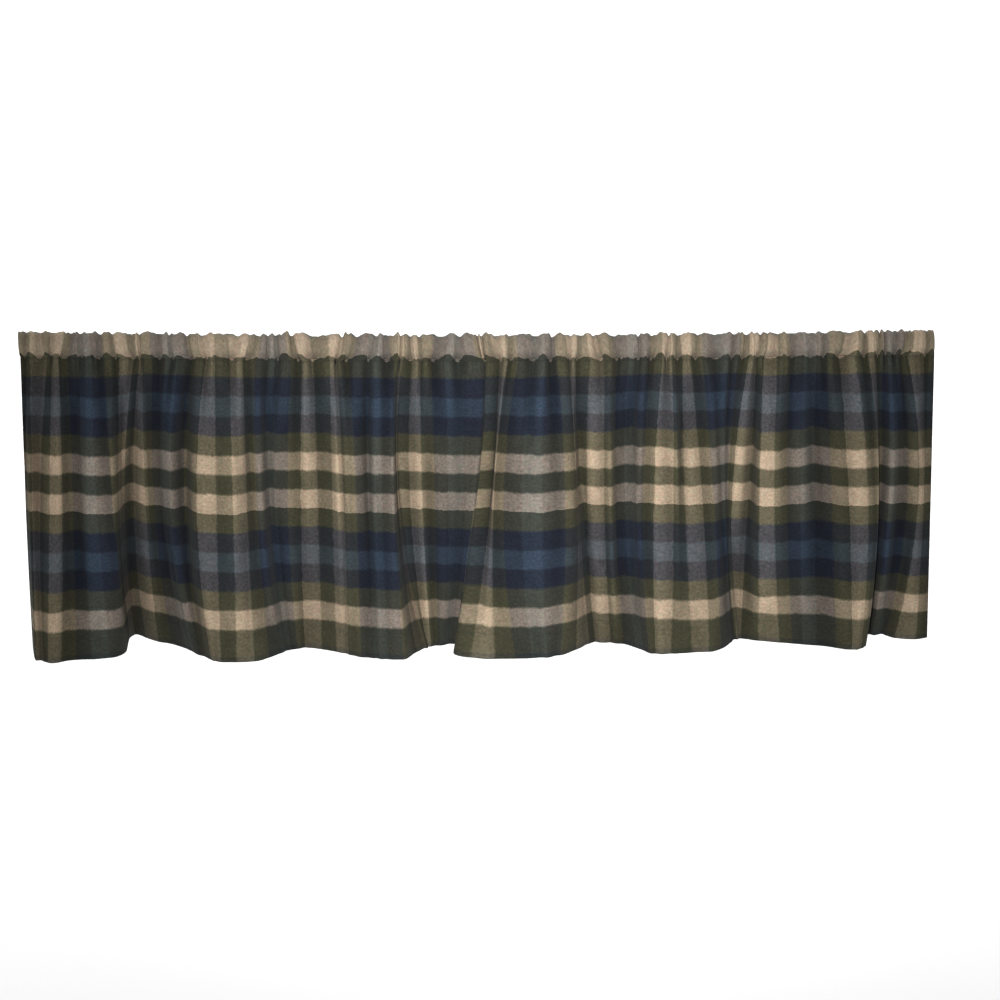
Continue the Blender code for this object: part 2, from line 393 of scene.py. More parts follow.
@dataclass(frozen=True)
class Gathers:
    """The small folds that the stitch line draws up, fading down the skirt.

    Attributes:
        cloth: the cut cloth.
        folds: its main folds, which leave the slack that ripples.
        spacing: mean spacing in bands.
        depth: how far a gather stands out or in, in metres.
        end_share: share of the depth at the two ends of the valance.
        slack_from: share of half the cloth's width beyond which the gathers start to flatten.
        hem_share: share of the depth that reaches the hem.
        fade: drop over which a middling gather fades to about a third.
        pinch: power that narrows the valleys and leaves the crests round.
        crumple: depth of the fine wrinkles between the stitches, in metres.
        crumple_fade: drop over which the fine wrinkles fade.
        scallop: how far the plaid is pulled over the stitch line on a crest, in metres.
        scallop_fade: distances above and below the line over which that pull fades.
        ripple: how far a wide soft fold stands out where all the cloth is slack, in metres.
        small_ripple: the same for the smaller folds between them.
        small_rate: smaller folds for each wide one.
        ripple_grown: drop at which the soft folds are full.
        ripple_ease: drop from which they ease towards the hem.
        seed: starts the random numbers that make every gather different.
    """

    cloth: CutCloth
    folds: FoldTable
    spacing: float = 1.43
    depth: float = 0.0054
    end_share: float = 0.55
    slack_from: float = 0.45
    hem_share: float = 0.08
    fade: float = 0.070
    pinch: float = 1.7
    crumple: float = 0.0010
    crumple_fade: float = 0.035
    scallop: float = 0.0150
    scallop_fade: tuple[float, float] = (0.020, 0.009)
    ripple: float = 0.0034
    small_ripple: float = 0.0024
    small_rate: float = 1.54
    ripple_grown: float = 0.12
    ripple_ease: float = 0.22
    seed: int = 7

    def phase(self, band: np.ndarray) -> np.ndarray:
        """Gathers counted from the left: a straight count plus two slow waves that make it uneven."""
        return band / self.spacing + 0.16 * np.sin(0.9 * band) + 0.13 * np.sin(2.3 * band + 1.0)

    def wave(self, band: np.ndarray, lag: np.ndarray | float = 0.0) -> np.ndarray:
        """-1 in a valley to 1 on a crest: 1 minus twice a power of the half-angle's squared sine."""
        angle = np.pi * (self.phase(band) - lag)
        return 1 - 2 * (np.sin(angle) ** 2) ** self.pinch

    def strength(self, band: np.ndarray) -> np.ndarray:
        """Share of the full depth: tighter in the middle and flatter towards both ends."""
        beyond = (self.cloth.from_middle(band) - self.slack_from) / (1 - self.slack_from)
        return 1 - (1 - self.end_share) * np.clip(beyond, 0, 1) ** 1.5

    def each(self, band: np.ndarray, low: float, high: float, draw: Draw) -> np.ndarray:
        """A random number from `low` to `high` for each gather, eased from one gather to the next.

        Args:
            band: plaid bands.
            low: least value.
            high: greatest value.
            draw: which set of numbers.

        Returns:
            The numbers, in the shape of `band`.
        """
        count = int(self.cloth.last_band / self.spacing) + 6
        draws = np.random.default_rng([self.seed, draw.value]).uniform(low, high, count)
        return np.interp(self.phase(band) + 2, np.arange(count), draws)

    def wrinkles(self, band: np.ndarray, drop: np.ndarray) -> np.ndarray:
        """Fine wrinkles under and over the stitches: short sines, each drifting with the drop.

        Args:
            band: plaid bands.
            drop: drops in metres.

        Returns:
            How far they stand out, in metres.
        """
        total = np.zeros(np.broadcast(band, drop).shape)
        for wrinkle in WRINKLES:
            total = total + np.sin(wrinkle.rate * band + wrinkle.drift * drop + wrinkle.start) / 2
        uneven = self.each(band, 0.4, 1.5, Draw.CRUMPLE)
        return self.crumple * uneven * total * np.exp(-np.abs(drop) / self.crumple_fade)

    def skirt_depth(self, band: np.ndarray, drop: np.ndarray) -> np.ndarray:
        """y that the gathers, wrinkles and ripples add to the skirt.

        A gather's own fade length and depth differ from its neighbours', and it wanders sideways on
        its way down. Its depth fades as the exponential of the drop over the fade length.

        Args:
            band: plaid bands.
            drop: drops in metres.

        Returns:
            y in metres.
        """
        below = np.maximum(drop, 0.0)
        fade = self.fade * self.each(band, 0.35, 1.9, Draw.FADE)
        share = self.hem_share + (1 - self.hem_share) * np.exp(-below / fade)
        wandering = self.wave(band, below * self.each(band, -2.2, 2.2, Draw.WANDER))
        height = self.depth * self.strength(band) * self.each(band, 0.35, 1.25, Draw.HEIGHT) * share
        return -height * wandering - self.wrinkles(band, below) - self.ripples(band, below)

    def ripples(self, band: np.ndarray, below: np.ndarray) -> np.ndarray:
        """How far the soft folds stand out into which the gathers run together on their way down.

        They are two cosines that wander and vary from gather to gather: one with a fold for every two
        gathers, and a smaller one with a fold for every 1.3 gathers.

        Args:
            band: plaid bands.
            below: drops in metres, none of them minus.

        Returns:
            How far they stand out, in metres.
        """
        wide = np.pi * (self.phase(band) - below * self.each(band, -1.5, 1.5, Draw.RIPPLE_WANDER))
        wander = self.each(band, -2.5, 2.5, Draw.SMALL_RIPPLE_WANDER)
        small = self.small_rate * np.pi * (self.phase(band) - below * wander)
        eased = 1 - 0.45 * smooth_step(self.ripple_ease, self.cloth.drop, below)
        grown = smooth_step(0.0, self.ripple_grown, below) * eased
        total = self.ripple * self.each(band, 0.2, 1.4, Draw.RIPPLE) * np.cos(wide)
        total = total + self.small_ripple * self.each(band, 0.3, 1.5, Draw.SMALL_RIPPLE) * np.cos(small)
        return total * grown * self.folds.slack(band, below, self.cloth.band)

    def pull(self, band: np.ndarray, away: np.ndarray) -> np.ndarray:
        """How far the plaid is pulled over the stitch line.

        A crest pulls it up in a round hump and a valley lets it down a little. The pull fades slowly
        above the line and fast below it.

        Args:
            band: plaid bands.
            away: metres from the line; minus is above it.

        Returns:
            Metres of cloth.
        """
        hump = 0.35 + 0.65 * self.wave(band)
        fade = np.where(away < 0, *self.scallop_fade)
        return self.scallop * hump * self.each(band, 0.3, 1.6, Draw.HEIGHT) * np.exp(-np.abs(away) / fade)


# Drops in metres: a crease that starts no lower than the first comes from the seam, and one that ends
# no higher than the second runs into the hem.
CREASE_FROM_SEAM = 0.005
CREASE_TO_HEM = 0.36


class CreaseKind(Enum):
    """Which way a crease goes from the cloth around it."""

    TROUGH = 1.0
    RIDGE = -1.0


@dataclass(frozen=True)
class Crease:
    """One crease laid over the main folds.

    Attributes:
        kind: a trough goes to the window, a ridge to the room.
        band_top: its plaid band at its upper end.
        band_low: its plaid band at its lower end.
        start: drop of its upper end, in millimetres.
        end: drop of its lower end, in millimetres.
        width: half its width, in bands.
        depth: its depth, in millimetres.
    """

    kind: CreaseKind
    band_top: float
    band_low: float
    start: float
    end: float
    width: float
    depth: float

    def relief(self, band: np.ndarray, drop: np.ndarray) -> np.ndarray:
        """y that the crease adds: a bell across its line, eased in and out along it.

        A crease that starts at the seam grows over the first 30 mm instead, and one that reaches the
        hem doesn't ease out.

        Args:
            band: plaid bands.
            drop: drops in metres, of the same shape.

        Returns:
            y in metres, plus for a trough.
        """
        start, end = self.start * MILLIMETRE, self.end * MILLIMETRE
        along = (drop - start) / (end - start)
        line = self.band_top + (self.band_low - self.band_top) * along
        bell = np.exp(-np.abs((band - line) / self.width) ** 1.6)
        from_seam, to_hem = start <= CREASE_FROM_SEAM, end >= CREASE_TO_HEM
        ease_in = smooth_step(0.0, 0.03, drop) if from_seam else smooth_step(-0.18, 0.25, along)
        ease_out = 1.0 if to_hem else 1 - smooth_step(0.65, 1.15, along)
        return self.kind.value * self.depth * MILLIMETRE * bell * ease_in * ease_out


TROUGH, RIDGE = CreaseKind.TROUGH, CreaseKind.RIDGE

CREASES = [
    Crease(TROUGH, 0.55, 0.55, 100, 373, 0.65, 6.5),
    Crease(RIDGE, 2.0, 2.0, 20, 373, 0.50, 2.5),
    Crease(TROUGH, 3.2, 3.2, 60, 350, 0.55, 4.0),
    Crease(RIDGE, 4.6, 4.6, 90, 210, 0.60, 2.5),
    Crease(TROUGH, 4.6, 4.6, 215, 310, 0.70, 2.5),
    Crease(RIDGE, 6.1, 6.2, 20, 373, 0.50, 3.5),
    Crease(TROUGH, 7.2, 7.2, 0, 80, 0.45, 3.5),
    Crease(TROUGH, 8.1, 8.7, 40, 200, 0.50, 6.0),
    Crease(TROUGH, 8.5, 8.3, 200, 360, 0.80, 8.0),
    Crease(RIDGE, 9.4, 9.4, 0, 125, 0.45, 3.5),
    Crease(TROUGH, 10.1, 10.1, 40, 300, 0.50, 4.5),
    Crease(TROUGH, 11.6, 11.4, 40, 300, 0.50, 3.0),
    Crease(TROUGH, 12.9, 13.0, 190, 310, 1.10, 6.0),
    Crease(RIDGE, 14.5, 14.6, 40, 300, 0.50, 2.5),
    Crease(TROUGH, 15.4, 15.5, 80, 360, 0.50, 6.0),
    Crease(RIDGE, 17.5, 17.5, 10, 210, 1.40, 1.5),
    Crease(RIDGE, 19.2, 19.2, 150, 335, 1.20, 2.0),
    Crease(TROUGH, 20.5, 20.5, 85, 140, 0.35, 2.5),
    Crease(TROUGH, 21.6, 21.7, 135, 340, 0.65, 4.0),
    Crease(RIDGE, 24.3, 24.5, 100, 340, 0.60, 2.0),
    Crease(TROUGH, 26.6, 26.7, 15, 125, 0.90, 2.0),
    Crease(RIDGE, 27.0, 27.0, 205, 295, 0.40, 2.5),
    Crease(TROUGH, 28.3, 28.5, 260, 345, 0.90, 4.0),
    Crease(RIDGE, 30.7, 30.7, 10, 180, 0.80, 4.0),
    Crease(RIDGE, 30.7, 30.6, 170, 260, 0.40, 3.5),
    Crease(TROUGH, 32.4, 32.5, 0, 345, 0.75, 6.5),
    Crease(RIDGE, 34.3, 34.4, 115, 373, 0.45, 2.5),
    Crease(RIDGE, 35.8, 35.8, 55, 250, 0.70, 2.5),
    Crease(TROUGH, 37.1, 37.1, 160, 305, 0.60, 2.5),
    Crease(RIDGE, 38.1, 38.1, 0, 285, 0.50, 4.0),
    Crease(RIDGE, 39.1, 39.1, 140, 300, 0.45, 2.5),
    Crease(TROUGH, 40.3, 40.4, 30, 373, 0.60, 6.0),
    Crease(TROUGH, 42.5, 42.5, 0, 240, 0.40, 5.0),
    Crease(TROUGH, 44.1, 44.2, 40, 215, 0.45, 3.5),
    Crease(RIDGE, 44.8, 44.8, 0, 105, 0.45, 3.5),
    Crease(RIDGE, 45.5, 45.5, 90, 345, 0.90, 3.5),
    Crease(TROUGH, 48.5, 48.5, 40, 150, 0.60, 4.0),
    Crease(TROUGH, 48.3, 48.3, 265, 340, 0.60, 3.0),
    Crease(RIDGE, 49.3, 49.3, 175, 255, 0.35, 3.0),
    Crease(TROUGH, 49.9, 50.0, 185, 330, 0.40, 4.0),
    Crease(RIDGE, 50.6, 50.6, 40, 190, 0.70, 3.0),
    Crease(TROUGH, 51.6, 51.6, 35, 120, 0.35, 2.0),
    Crease(RIDGE, 52.4, 52.4, 70, 190, 0.45, 2.0),
    Crease(TROUGH, 53.5, 54.8, 45, 235, 0.60, 4.5),
    Crease(TROUGH, 54.2, 54.0, 220, 345, 1.50, 4.0),
    Crease(TROUGH, 53.5, 53.4, 280, 340, 0.60, 3.0),
    Crease(RIDGE, 56.2, 56.3, 145, 345, 0.50, 3.5),
    Crease(RIDGE, 57.2, 57.1, 50, 135, 0.40, 5.0),
    Crease(TROUGH, 57.8, 57.8, 40, 190, 0.30, 3.0),
    Crease(RIDGE, 58.6, 58.6, 105, 340, 0.60, 2.5),
    Crease(RIDGE, 60.5, 60.5, 35, 205, 0.55, 3.5),
    Crease(TROUGH, 61.2, 61.2, 215, 335, 0.55, 5.0),
    Crease(TROUGH, 62.9, 63.1, 215, 335, 0.75, 5.0),
    Crease(RIDGE, 64.4, 64.4, 50, 220, 0.55, 4.0),
    Crease(TROUGH, 64.2, 64.3, 235, 373, 0.45, 5.0),
    Crease(TROUGH, 65.5, 65.4, 25, 265, 0.45, 4.5),
    Crease(RIDGE, 66.7, 66.7, 0, 95, 0.80, 3.0),
    Crease(TROUGH, 66.9, 66.9, 55, 100, 0.30, 2.5),
    Crease(RIDGE, 66.0, 66.0, 280, 335, 0.60, 3.0),
    Crease(TROUGH, 69.6, 70.3, 55, 245, 0.50, 3.5),
    Crease(RIDGE, 72.5, 72.6, 70, 365, 0.60, 4.0),
    Crease(TROUGH, 74.7, 74.9, 0, 345, 0.95, 6.5),
    Crease(TROUGH, 76.9, 76.5, 45, 170, 0.60, 4.5),
    Crease(RIDGE, 76.5, 76.5, 250, 345, 0.45, 4.0),
    Crease(TROUGH, 78.0, 78.0, 205, 320, 0.90, 3.5),
    Crease(RIDGE, 79.0, 79.1, 75, 205, 0.80, 3.5),
    Crease(TROUGH, 79.6, 79.5, 220, 330, 0.50, 4.0),
    Crease(TROUGH, 80.8, 80.8, 60, 135, 0.50, 4.0),
    Crease(TROUGH, 80.8, 80.8, 205, 335, 0.60, 4.0),
]


@dataclass(frozen=True)
class PaintedShadePatch:
    """A wide patch of painted shade on the skirt, or of painted light where its lift is plus.

    Attributes:
        band: plaid band of its middle.
        drop: drop of its middle, in millimetres.
        wide: half its width, in bands.
        high: half its height, in millimetres.
        lift: how far it raises the painted light, from 0 in a valley to 1 on a crest; minus paints shade.
    """

    band: float
    drop: float
    wide: float
    high: float
    lift: float

    def raised(self, band: np.ndarray, drop: np.ndarray) -> np.ndarray:
        """What it adds to the painted light: the lift times a bell with a flat top across and a round one
        down.

        Args:
            band: plaid bands.
            drop: drops in metres.

        Returns:
            Shares of the way from valley to crest.
        """
        across = ((band - self.band) / self.wide) ** 4
        down = ((drop / MILLIMETRE - self.drop) / self.high) ** 2
        return self.lift * np.exp(-across - down)


# Wide patches of painted shade over the skirt's shaded folds, and two of painted light.
PAINTED_SHADE_PATCHES = [
    PaintedShadePatch(0.4, 250, 0.9, 200, -0.30),
    PaintedShadePatch(5.2, 170, 1.6, 160, 0.15),
    PaintedShadePatch(8.4, 290, 1.3, 110, -0.35),
    PaintedShadePatch(11.4, 190, 4.2, 300, -0.50),
    PaintedShadePatch(10.4, 150, 0.7, 90, 0.45),
    PaintedShadePatch(17.3, 260, 1.7, 220, -0.30),
    PaintedShadePatch(28.5, 230, 1.9, 220, -0.28),
    PaintedShadePatch(32.4, 180, 0.8, 240, -0.70),
    PaintedShadePatch(36.8, 260, 1.9, 150, -0.20),
    PaintedShadePatch(40.3, 220, 0.9, 300, -0.80),
    PaintedShadePatch(42.5, 165, 0.6, 75, -0.55),
    PaintedShadePatch(48.5, 150, 0.6, 90, -0.30),
    PaintedShadePatch(54.2, 300, 1.4, 90, -0.20),
    PaintedShadePatch(62.3, 295, 1.9, 80, -0.30),
    PaintedShadePatch(71.0, 190, 1.6, 300, -0.25),
    PaintedShadePatch(75.3, 230, 1.1, 200, -0.15),
]


@dataclass(frozen=True)
class Flank:
    """A steep place where the skirt steps from one soft fold to the next.

    Attributes:
        band_top: its plaid band at the stitch line.
        band_low: its plaid band at the hem.
        beyond: depth of the fold to its right, in millimetres; towards the room is minus.
        spread: half the width of the step, in bands.
    """

    band_top: float
    band_low: float
    beyond: float
    spread: float

    def step(self, band: np.ndarray, drop: np.ndarray, hem: float, width: float) -> np.ndarray:
        """Share of the step: half of 1 plus the hyperbolic tangent of the way past its line over its spread.

        Args:
            band: plaid bands.
            drop: drops in metres, of the same shape.
            hem: the hem's drop.
            width: scales the spread.

        Returns:
            0 to the left of the flank to 1 to its right.
        """
        line = self.band_top + (self.band_low - self.band_top) * drop / hem
        return (1 + np.tanh((band - line) / (self.spread * width))) / 2


FLANKS = [
    Flank(0.4, 0.3, -5, 0.45),
    Flank(3.4, 3.2, 4, 0.50),
    Flank(4.8, 4.7, -4, 0.60),
    Flank(7.2, 8.9, 6, 0.50),
    Flank(10.0, 9.8, -4, 0.45),
    Flank(11.5, 11.3, 5, 0.55),
    Flank(13.2, 13.0, -4, 0.50),
    Flank(14.4, 14.6, 4, 0.40),
    Flank(15.3, 15.4, -6, 0.35),
    Flank(19.0, 19.3, -1, 0.60),
    Flank(20.4, 21.6, 6, 0.55),
    Flank(24.9, 25.0, 1, 0.60),
    Flank(26.8, 26.8, -5, 0.70),
    Flank(28.2, 28.2, 0, 0.50),
    Flank(29.4, 29.6, -5, 0.60),
    Flank(32.2, 32.3, 5, 0.40),
    Flank(34.4, 34.6, -2, 0.50),
    Flank(36.8, 37.2, 3, 0.60),
    Flank(38.4, 38.6, -3, 0.50),
    Flank(40.1, 40.3, 3, 0.40),
    Flank(42.4, 42.3, -3, 0.45),
    Flank(48.5, 48.6, 5, 0.40),
    Flank(50.0, 50.1, -2, 0.45),
    Flank(51.7, 51.9, 4, 0.50),
    Flank(54.0, 54.2, -4, 0.55),
    Flank(57.7, 57.7, 2, 0.45),
    Flank(60.0, 59.8, -3, 0.60),
    Flank(61.8, 61.9, 5, 0.50),
    Flank(63.3, 63.6, -2, 0.45),
    Flank(65.0, 64.8, 4, 0.40),
    Flank(65.6, 65.5, -5, 0.35),
    Flank(67.2, 67.6, 1, 0.50),
    Flank(69.6, 69.8, 5, 0.50),
    Flank(71.2, 71.0, -4, 0.60),
    Flank(74.4, 74.5, 5, 0.55),
    Flank(76.6, 76.4, -3, 0.45),
    Flank(77.8, 77.6, 3, 0.45),
    Flank(79.5, 79.6, -4, 0.50),
    Flank(80.8, 80.7, 1, 0.45),
]


def flank_depth(band: np.ndarray, drop: np.ndarray, hem: float, width: float) -> np.ndarray:
    """y that the flanks add: one soft step after another, from each fold's depth to the next one's.

    All grow from nothing at the stitch line to their full height 80 mm below, and ease off again
    towards the hem, from a drop of 260 mm.

    Args:
        band: plaid bands.
        drop: drops in metres, of the same shape.
        hem: the hem's drop.
        width: scales the spread of every step.

    Returns:
        y in metres.
    """
    depth = np.zeros(np.broadcast(band, drop).shape)
    before = 0.0
    for flank in FLANKS:
        height = (flank.beyond - before) * MILLIMETRE
        depth = depth + height * flank.step(band, drop, hem, width)
        before = flank.beyond
    grown, ease_from, eased = 0.08, 0.26, 0.4
    return depth * smooth_step(0.0, grown, drop) * (1 - eased * smooth_step(ease_from, hem, drop))


# ---------------------------------------------------------------------------------------------
# Meshes from grids
# ---------------------------------------------------------------------------------------------


def grid_normals(points: np.ndarray) -> np.ndarray:
    """Unit normals of a grid of points, towards the room where bands run right and drops down.

    The normal is the cross product of the step down the grid and the step along it.

    Args:
        points: (rows, columns, 3) places.

    Returns:
        (rows, columns, 3) unit vectors.
    """
    down = np.gradient(points, axis=0)
    along = np.gradient(points, axis=1)
    normal = np.cross(down, along)
    return normal / np.maximum(np.linalg.norm(normal, axis=-1, keepdims=True), 1e-12)


def wrapped_faces(around: int, columns: int) -> np.ndarray:
    """Quads of a grid whose rows close into a ring, with both ends of the ring bridged.

    Row i and row around - 1 - i lie back to back, so each end is closed by quads between such
    pairs of rows.

    Args:
        around: number of rows round the ring; even.
        columns: number of points along each row.

    Returns:
        (faces, 4) point numbers.
    """
    row, column = np.meshgrid(np.arange(around), np.arange(columns - 1), indexing="ij")
    here = row * columns + column
    after = (row + 1) % around * columns + column
    skin = np.stack([here, after, after + 1, here + 1], axis=-1).reshape(-1, 4)
    near = np.arange(around // 2 - 1)
    ends = []
    for column_at, turn in ((0, 1), (columns - 1, -1)):
        a = near * columns + column_at
        b = (near + 1) * columns + column_at
        c = (around - 2 - near) * columns + column_at
        d = (around - 1 - near) * columns + column_at
        ends.append(np.stack([a, d, c, b], axis=-1)[:, ::turn])
    return np.concatenate([skin, *ends])


def placed(name: str, data: bpy.types.ID) -> bpy.types.Object:
    """Makes an object at the origin and links it to the scene.

    Args:
        name: the object's name.
        data: its mesh, lamp or camera.

    Returns:
        The object.
    """
    thing = bpy.data.objects.new(name, data)
    bpy.context.scene.collection.objects.link(thing)
    return thing


@dataclass
class ClothMesh:
    """A finished layer of cloth as arrays, ready to become a piece.

    Attributes:
        points: (rows, columns, 3) places round the ring of rows.
        uv: (rows, columns, 2) metres of cut cloth across and down.
        painted_light: (rows, columns) painted shade and light, 0 in a valley to 1 on a crest.
    """

    points: np.ndarray
    uv: np.ndarray
    painted_light: np.ndarray

    def piece(self, name: str, material: bpy.types.Material) -> bpy.types.Object:
        """Makes the Blender object, with its UV map, its painted light attribute and smooth shading.

        Args:
            name: the piece's name.
            material: its only material.

        Returns:
            The object, at the origin and linked to the scene.
        """
        rows, columns = self.points.shape[:2]
        faces = wrapped_faces(rows, columns)
        mesh = bpy.data.meshes.new(name)
        mesh.from_pydata(self.points.reshape(-1, 3), [], faces)
        corners = np.empty(len(mesh.loops), dtype=np.int32)
        mesh.loops.foreach_get("vertex_index", corners)
        layer = mesh.uv_layers.new(name=UV_NAME)
        layer.data.foreach_set("uv", self.uv.reshape(-1, 2)[corners].astype(np.float32).ravel())
        painted_light = mesh.attributes.new(PAINTED_LIGHT_NAME, "FLOAT", "POINT")
        painted_light.data.foreach_set("value", self.painted_light.astype(np.float32).ravel())
        mesh.materials.append(material)
        mesh.validate()
        mesh.shade_smooth()
        return placed(name, mesh)


# ---------------------------------------------------------------------------------------------
# Finishes
# ---------------------------------------------------------------------------------------------


class NodeGraph:
    """A short way to write a material's nodes: most calls add a node and return its output."""

    def __init__(self, material: bpy.types.Material) -> None:
        """Clears the material's nodes and keeps its tree.

        Args:
            material: the material to write.
        """
        material.use_nodes = True
        self.tree = material.node_tree
        self.tree.nodes.clear()

    def add(self, kind: str, **settings: object) -> bpy.types.Node:
        """Adds a node.

        Args:
            kind: its Blender type.
            **settings: properties to set on it.

        Returns:
            The node.
        """
        node = self.tree.nodes.new(kind)
        for name, value in settings.items():
            setattr(node, name, value)
        return node

    def feed(self, socket: Socket, value: object) -> None:
        """Feeds a socket.

        Args:
            socket: the input socket.
            value: an output to link to it, or a plain value to set on it.
        """
        if isinstance(value, Socket):
            self.tree.links.new(value, socket)
        else:
            socket.default_value = value

    def fed(self, kind: str, values: tuple, **settings: object) -> bpy.types.Node:
        """Adds a node and feeds its first inputs.

        Args:
            kind: its Blender type.
            values: what feeds its inputs, in their order.
            **settings: properties to set on it.

        Returns:
            The node.
        """
        node = self.add(kind, **settings)
        for socket, value in zip(node.inputs, values):
            self.feed(socket, value)
        return node

    def math(self, operation: str, *values: object) -> Socket:
        """A Math node on up to three values."""
        return self.fed("ShaderNodeMath", values, operation=operation).outputs[0]

    def combine(self, x: object, y: object, z: object = 0.0) -> Socket:
        """A vector from three values."""
        return self.fed("ShaderNodeCombineXYZ", (x, y, z)).outputs[0]

    def noise(self, vector: object, scale: float, detail: float = 2.0, roughness: float = 0.5) -> Socket:
        """A noise from 0 to 1.

        Args:
            vector: the place at which it is read.
            scale: features for each unit of the vector.
            detail: octaves of finer noise.
            roughness: how strong the finer octaves are.

        Returns:
            The noise.
        """
        node = self.add("ShaderNodeTexNoise", noise_dimensions="3D")
        self.feed(node.inputs["Vector"], vector)
        node.inputs["Scale"].default_value = scale
        node.inputs["Detail"].default_value = detail
        node.inputs["Roughness"].default_value = roughness
        return node.outputs["Fac"]

    def span(self, value: object, low: float, high: float, to_low: float, to_high: float) -> Socket:
        """Maps low..high to to_low..to_high, clamped."""
        return self.fed("ShaderNodeMapRange", (value, low, high, to_low, to_high), clamp=True).outputs[0]

    def mix(self, share: object, first: object, second: object, blend: str = "MIX") -> Socket:
        """Mixes two colours.

        Args:
            share: how much of the second shows.
            first: the colour below.
            second: the colour above.
            blend: Blender's name for the way they mix.

        Returns:
            The mixed colour.
        """
        node = self.add("ShaderNodeMix", data_type="RGBA", blend_type=blend)
        self.feed(node.inputs["Factor"], share)
        self.feed(node.inputs["A"], first)
        self.feed(node.inputs["B"], second)
        return next(out for out in node.outputs if out.type == "RGBA")

    def times(self, colour: object, factor: object) -> Socket:
        """The product of two colours."""
        return self.mix(1.0, colour, factor, "MULTIPLY")

    def grey(self, value: object) -> Socket:
        """The same number in red, green and blue."""
        return self.fed("ShaderNodeCombineColor", (value, value, value)).outputs[0]

    def stripes(self, at: object, colours: list[Triple], edge: float) -> Socket:
        """Equal stripes from 0 to 1.

        Args:
            at: the place among them.
            colours: their colours, in order.
            edge: half the width over which each blends to the next.

        Returns:
            The colour there.
        """
        node = self.add("ShaderNodeValToRGB")
        self.feed(node.inputs[0], at)
        ramp = node.color_ramp
        ramp.interpolation = "LINEAR"
        count = len(colours)
        stops = []
        for i, colour in enumerate(colours):
            stops.append((i / count + (edge if i else 0.0), colour))
            stops.append(((i + 1) / count - (edge if i < count - 1 else 0.0), colour))
        while len(ramp.elements) < len(stops):
            ramp.elements.new(0.5)
        for element, (place, colour) in zip(ramp.elements, stops):
            element.position = place
            element.color = (*colour, 1.0)
        return node.outputs[0]

    def bump(self, height: object, strength: float, distance: float, normal: Socket | None = None) -> Socket:
        """Relief as a bent normal.

        Args:
            height: the relief, 0 to 1.
            strength: how much of it shows.
            distance: height of the relief in metres.
            normal: a normal already bent, if there is one.

        Returns:
            The normal.
        """
        node = self.add("ShaderNodeBump")
        node.inputs["Strength"].default_value = strength
        node.inputs["Distance"].default_value = distance
        self.feed(node.inputs["Height"], height)
        if normal is not None:
            self.feed(node.inputs["Normal"], normal)
        return node.outputs[0]

    def finish(self, colour: Socket, normal: Socket, values: dict[str, object]) -> None:
        """Adds the shader and the material's output.

        Args:
            colour: the base colour.
            normal: the bent normal.
            values: the shader's other inputs by name, each a plain value.
        """
        shader = self.add("ShaderNodeBsdfPrincipled")
        self.feed(shader.inputs["Base Color"], colour)
        self.feed(shader.inputs["Normal"], normal)
        for name, value in values.items():
            shader.inputs[name].default_value = value
        output = self.add("ShaderNodeOutputMaterial")
        self.feed(output.inputs["Surface"], shader.outputs[0])


class Yarn(Enum):
    """The plaid's four yarns, each part as the fourth root of its reflectance."""

    CREAM = (0.835, 0.780, 0.715)
    OLIVE = (0.492, 0.487, 0.428)
    SLATE = (0.434, 0.480, 0.533)
    NAVY = (0.354, 0.373, 0.421)


WARP_SETT = [
    Yarn.CREAM, Yarn.OLIVE, Yarn.CREAM, Yarn.OLIVE,
    Yarn.NAVY, Yarn.SLATE, Yarn.NAVY, Yarn.OLIVE,
]
WEFT_SETT = [
    Yarn.OLIVE, Yarn.NAVY, Yarn.SLATE, Yarn.NAVY,
    Yarn.OLIVE, Yarn.CREAM, Yarn.OLIVE, Yarn.CREAM,
]


@dataclass
class WovenPlace:
    """The place on the cloth at which a material is read, as outputs of its nodes.

    Attributes:
        uv: the cloth's UV map.
        down: metres down from the stitch line.
        u: metres across, with the threads' wandering.
        v: metres down, with the threads' wandering.
    """

    uv: Socket
    down: Socket
    u: Socket
    v: Socket


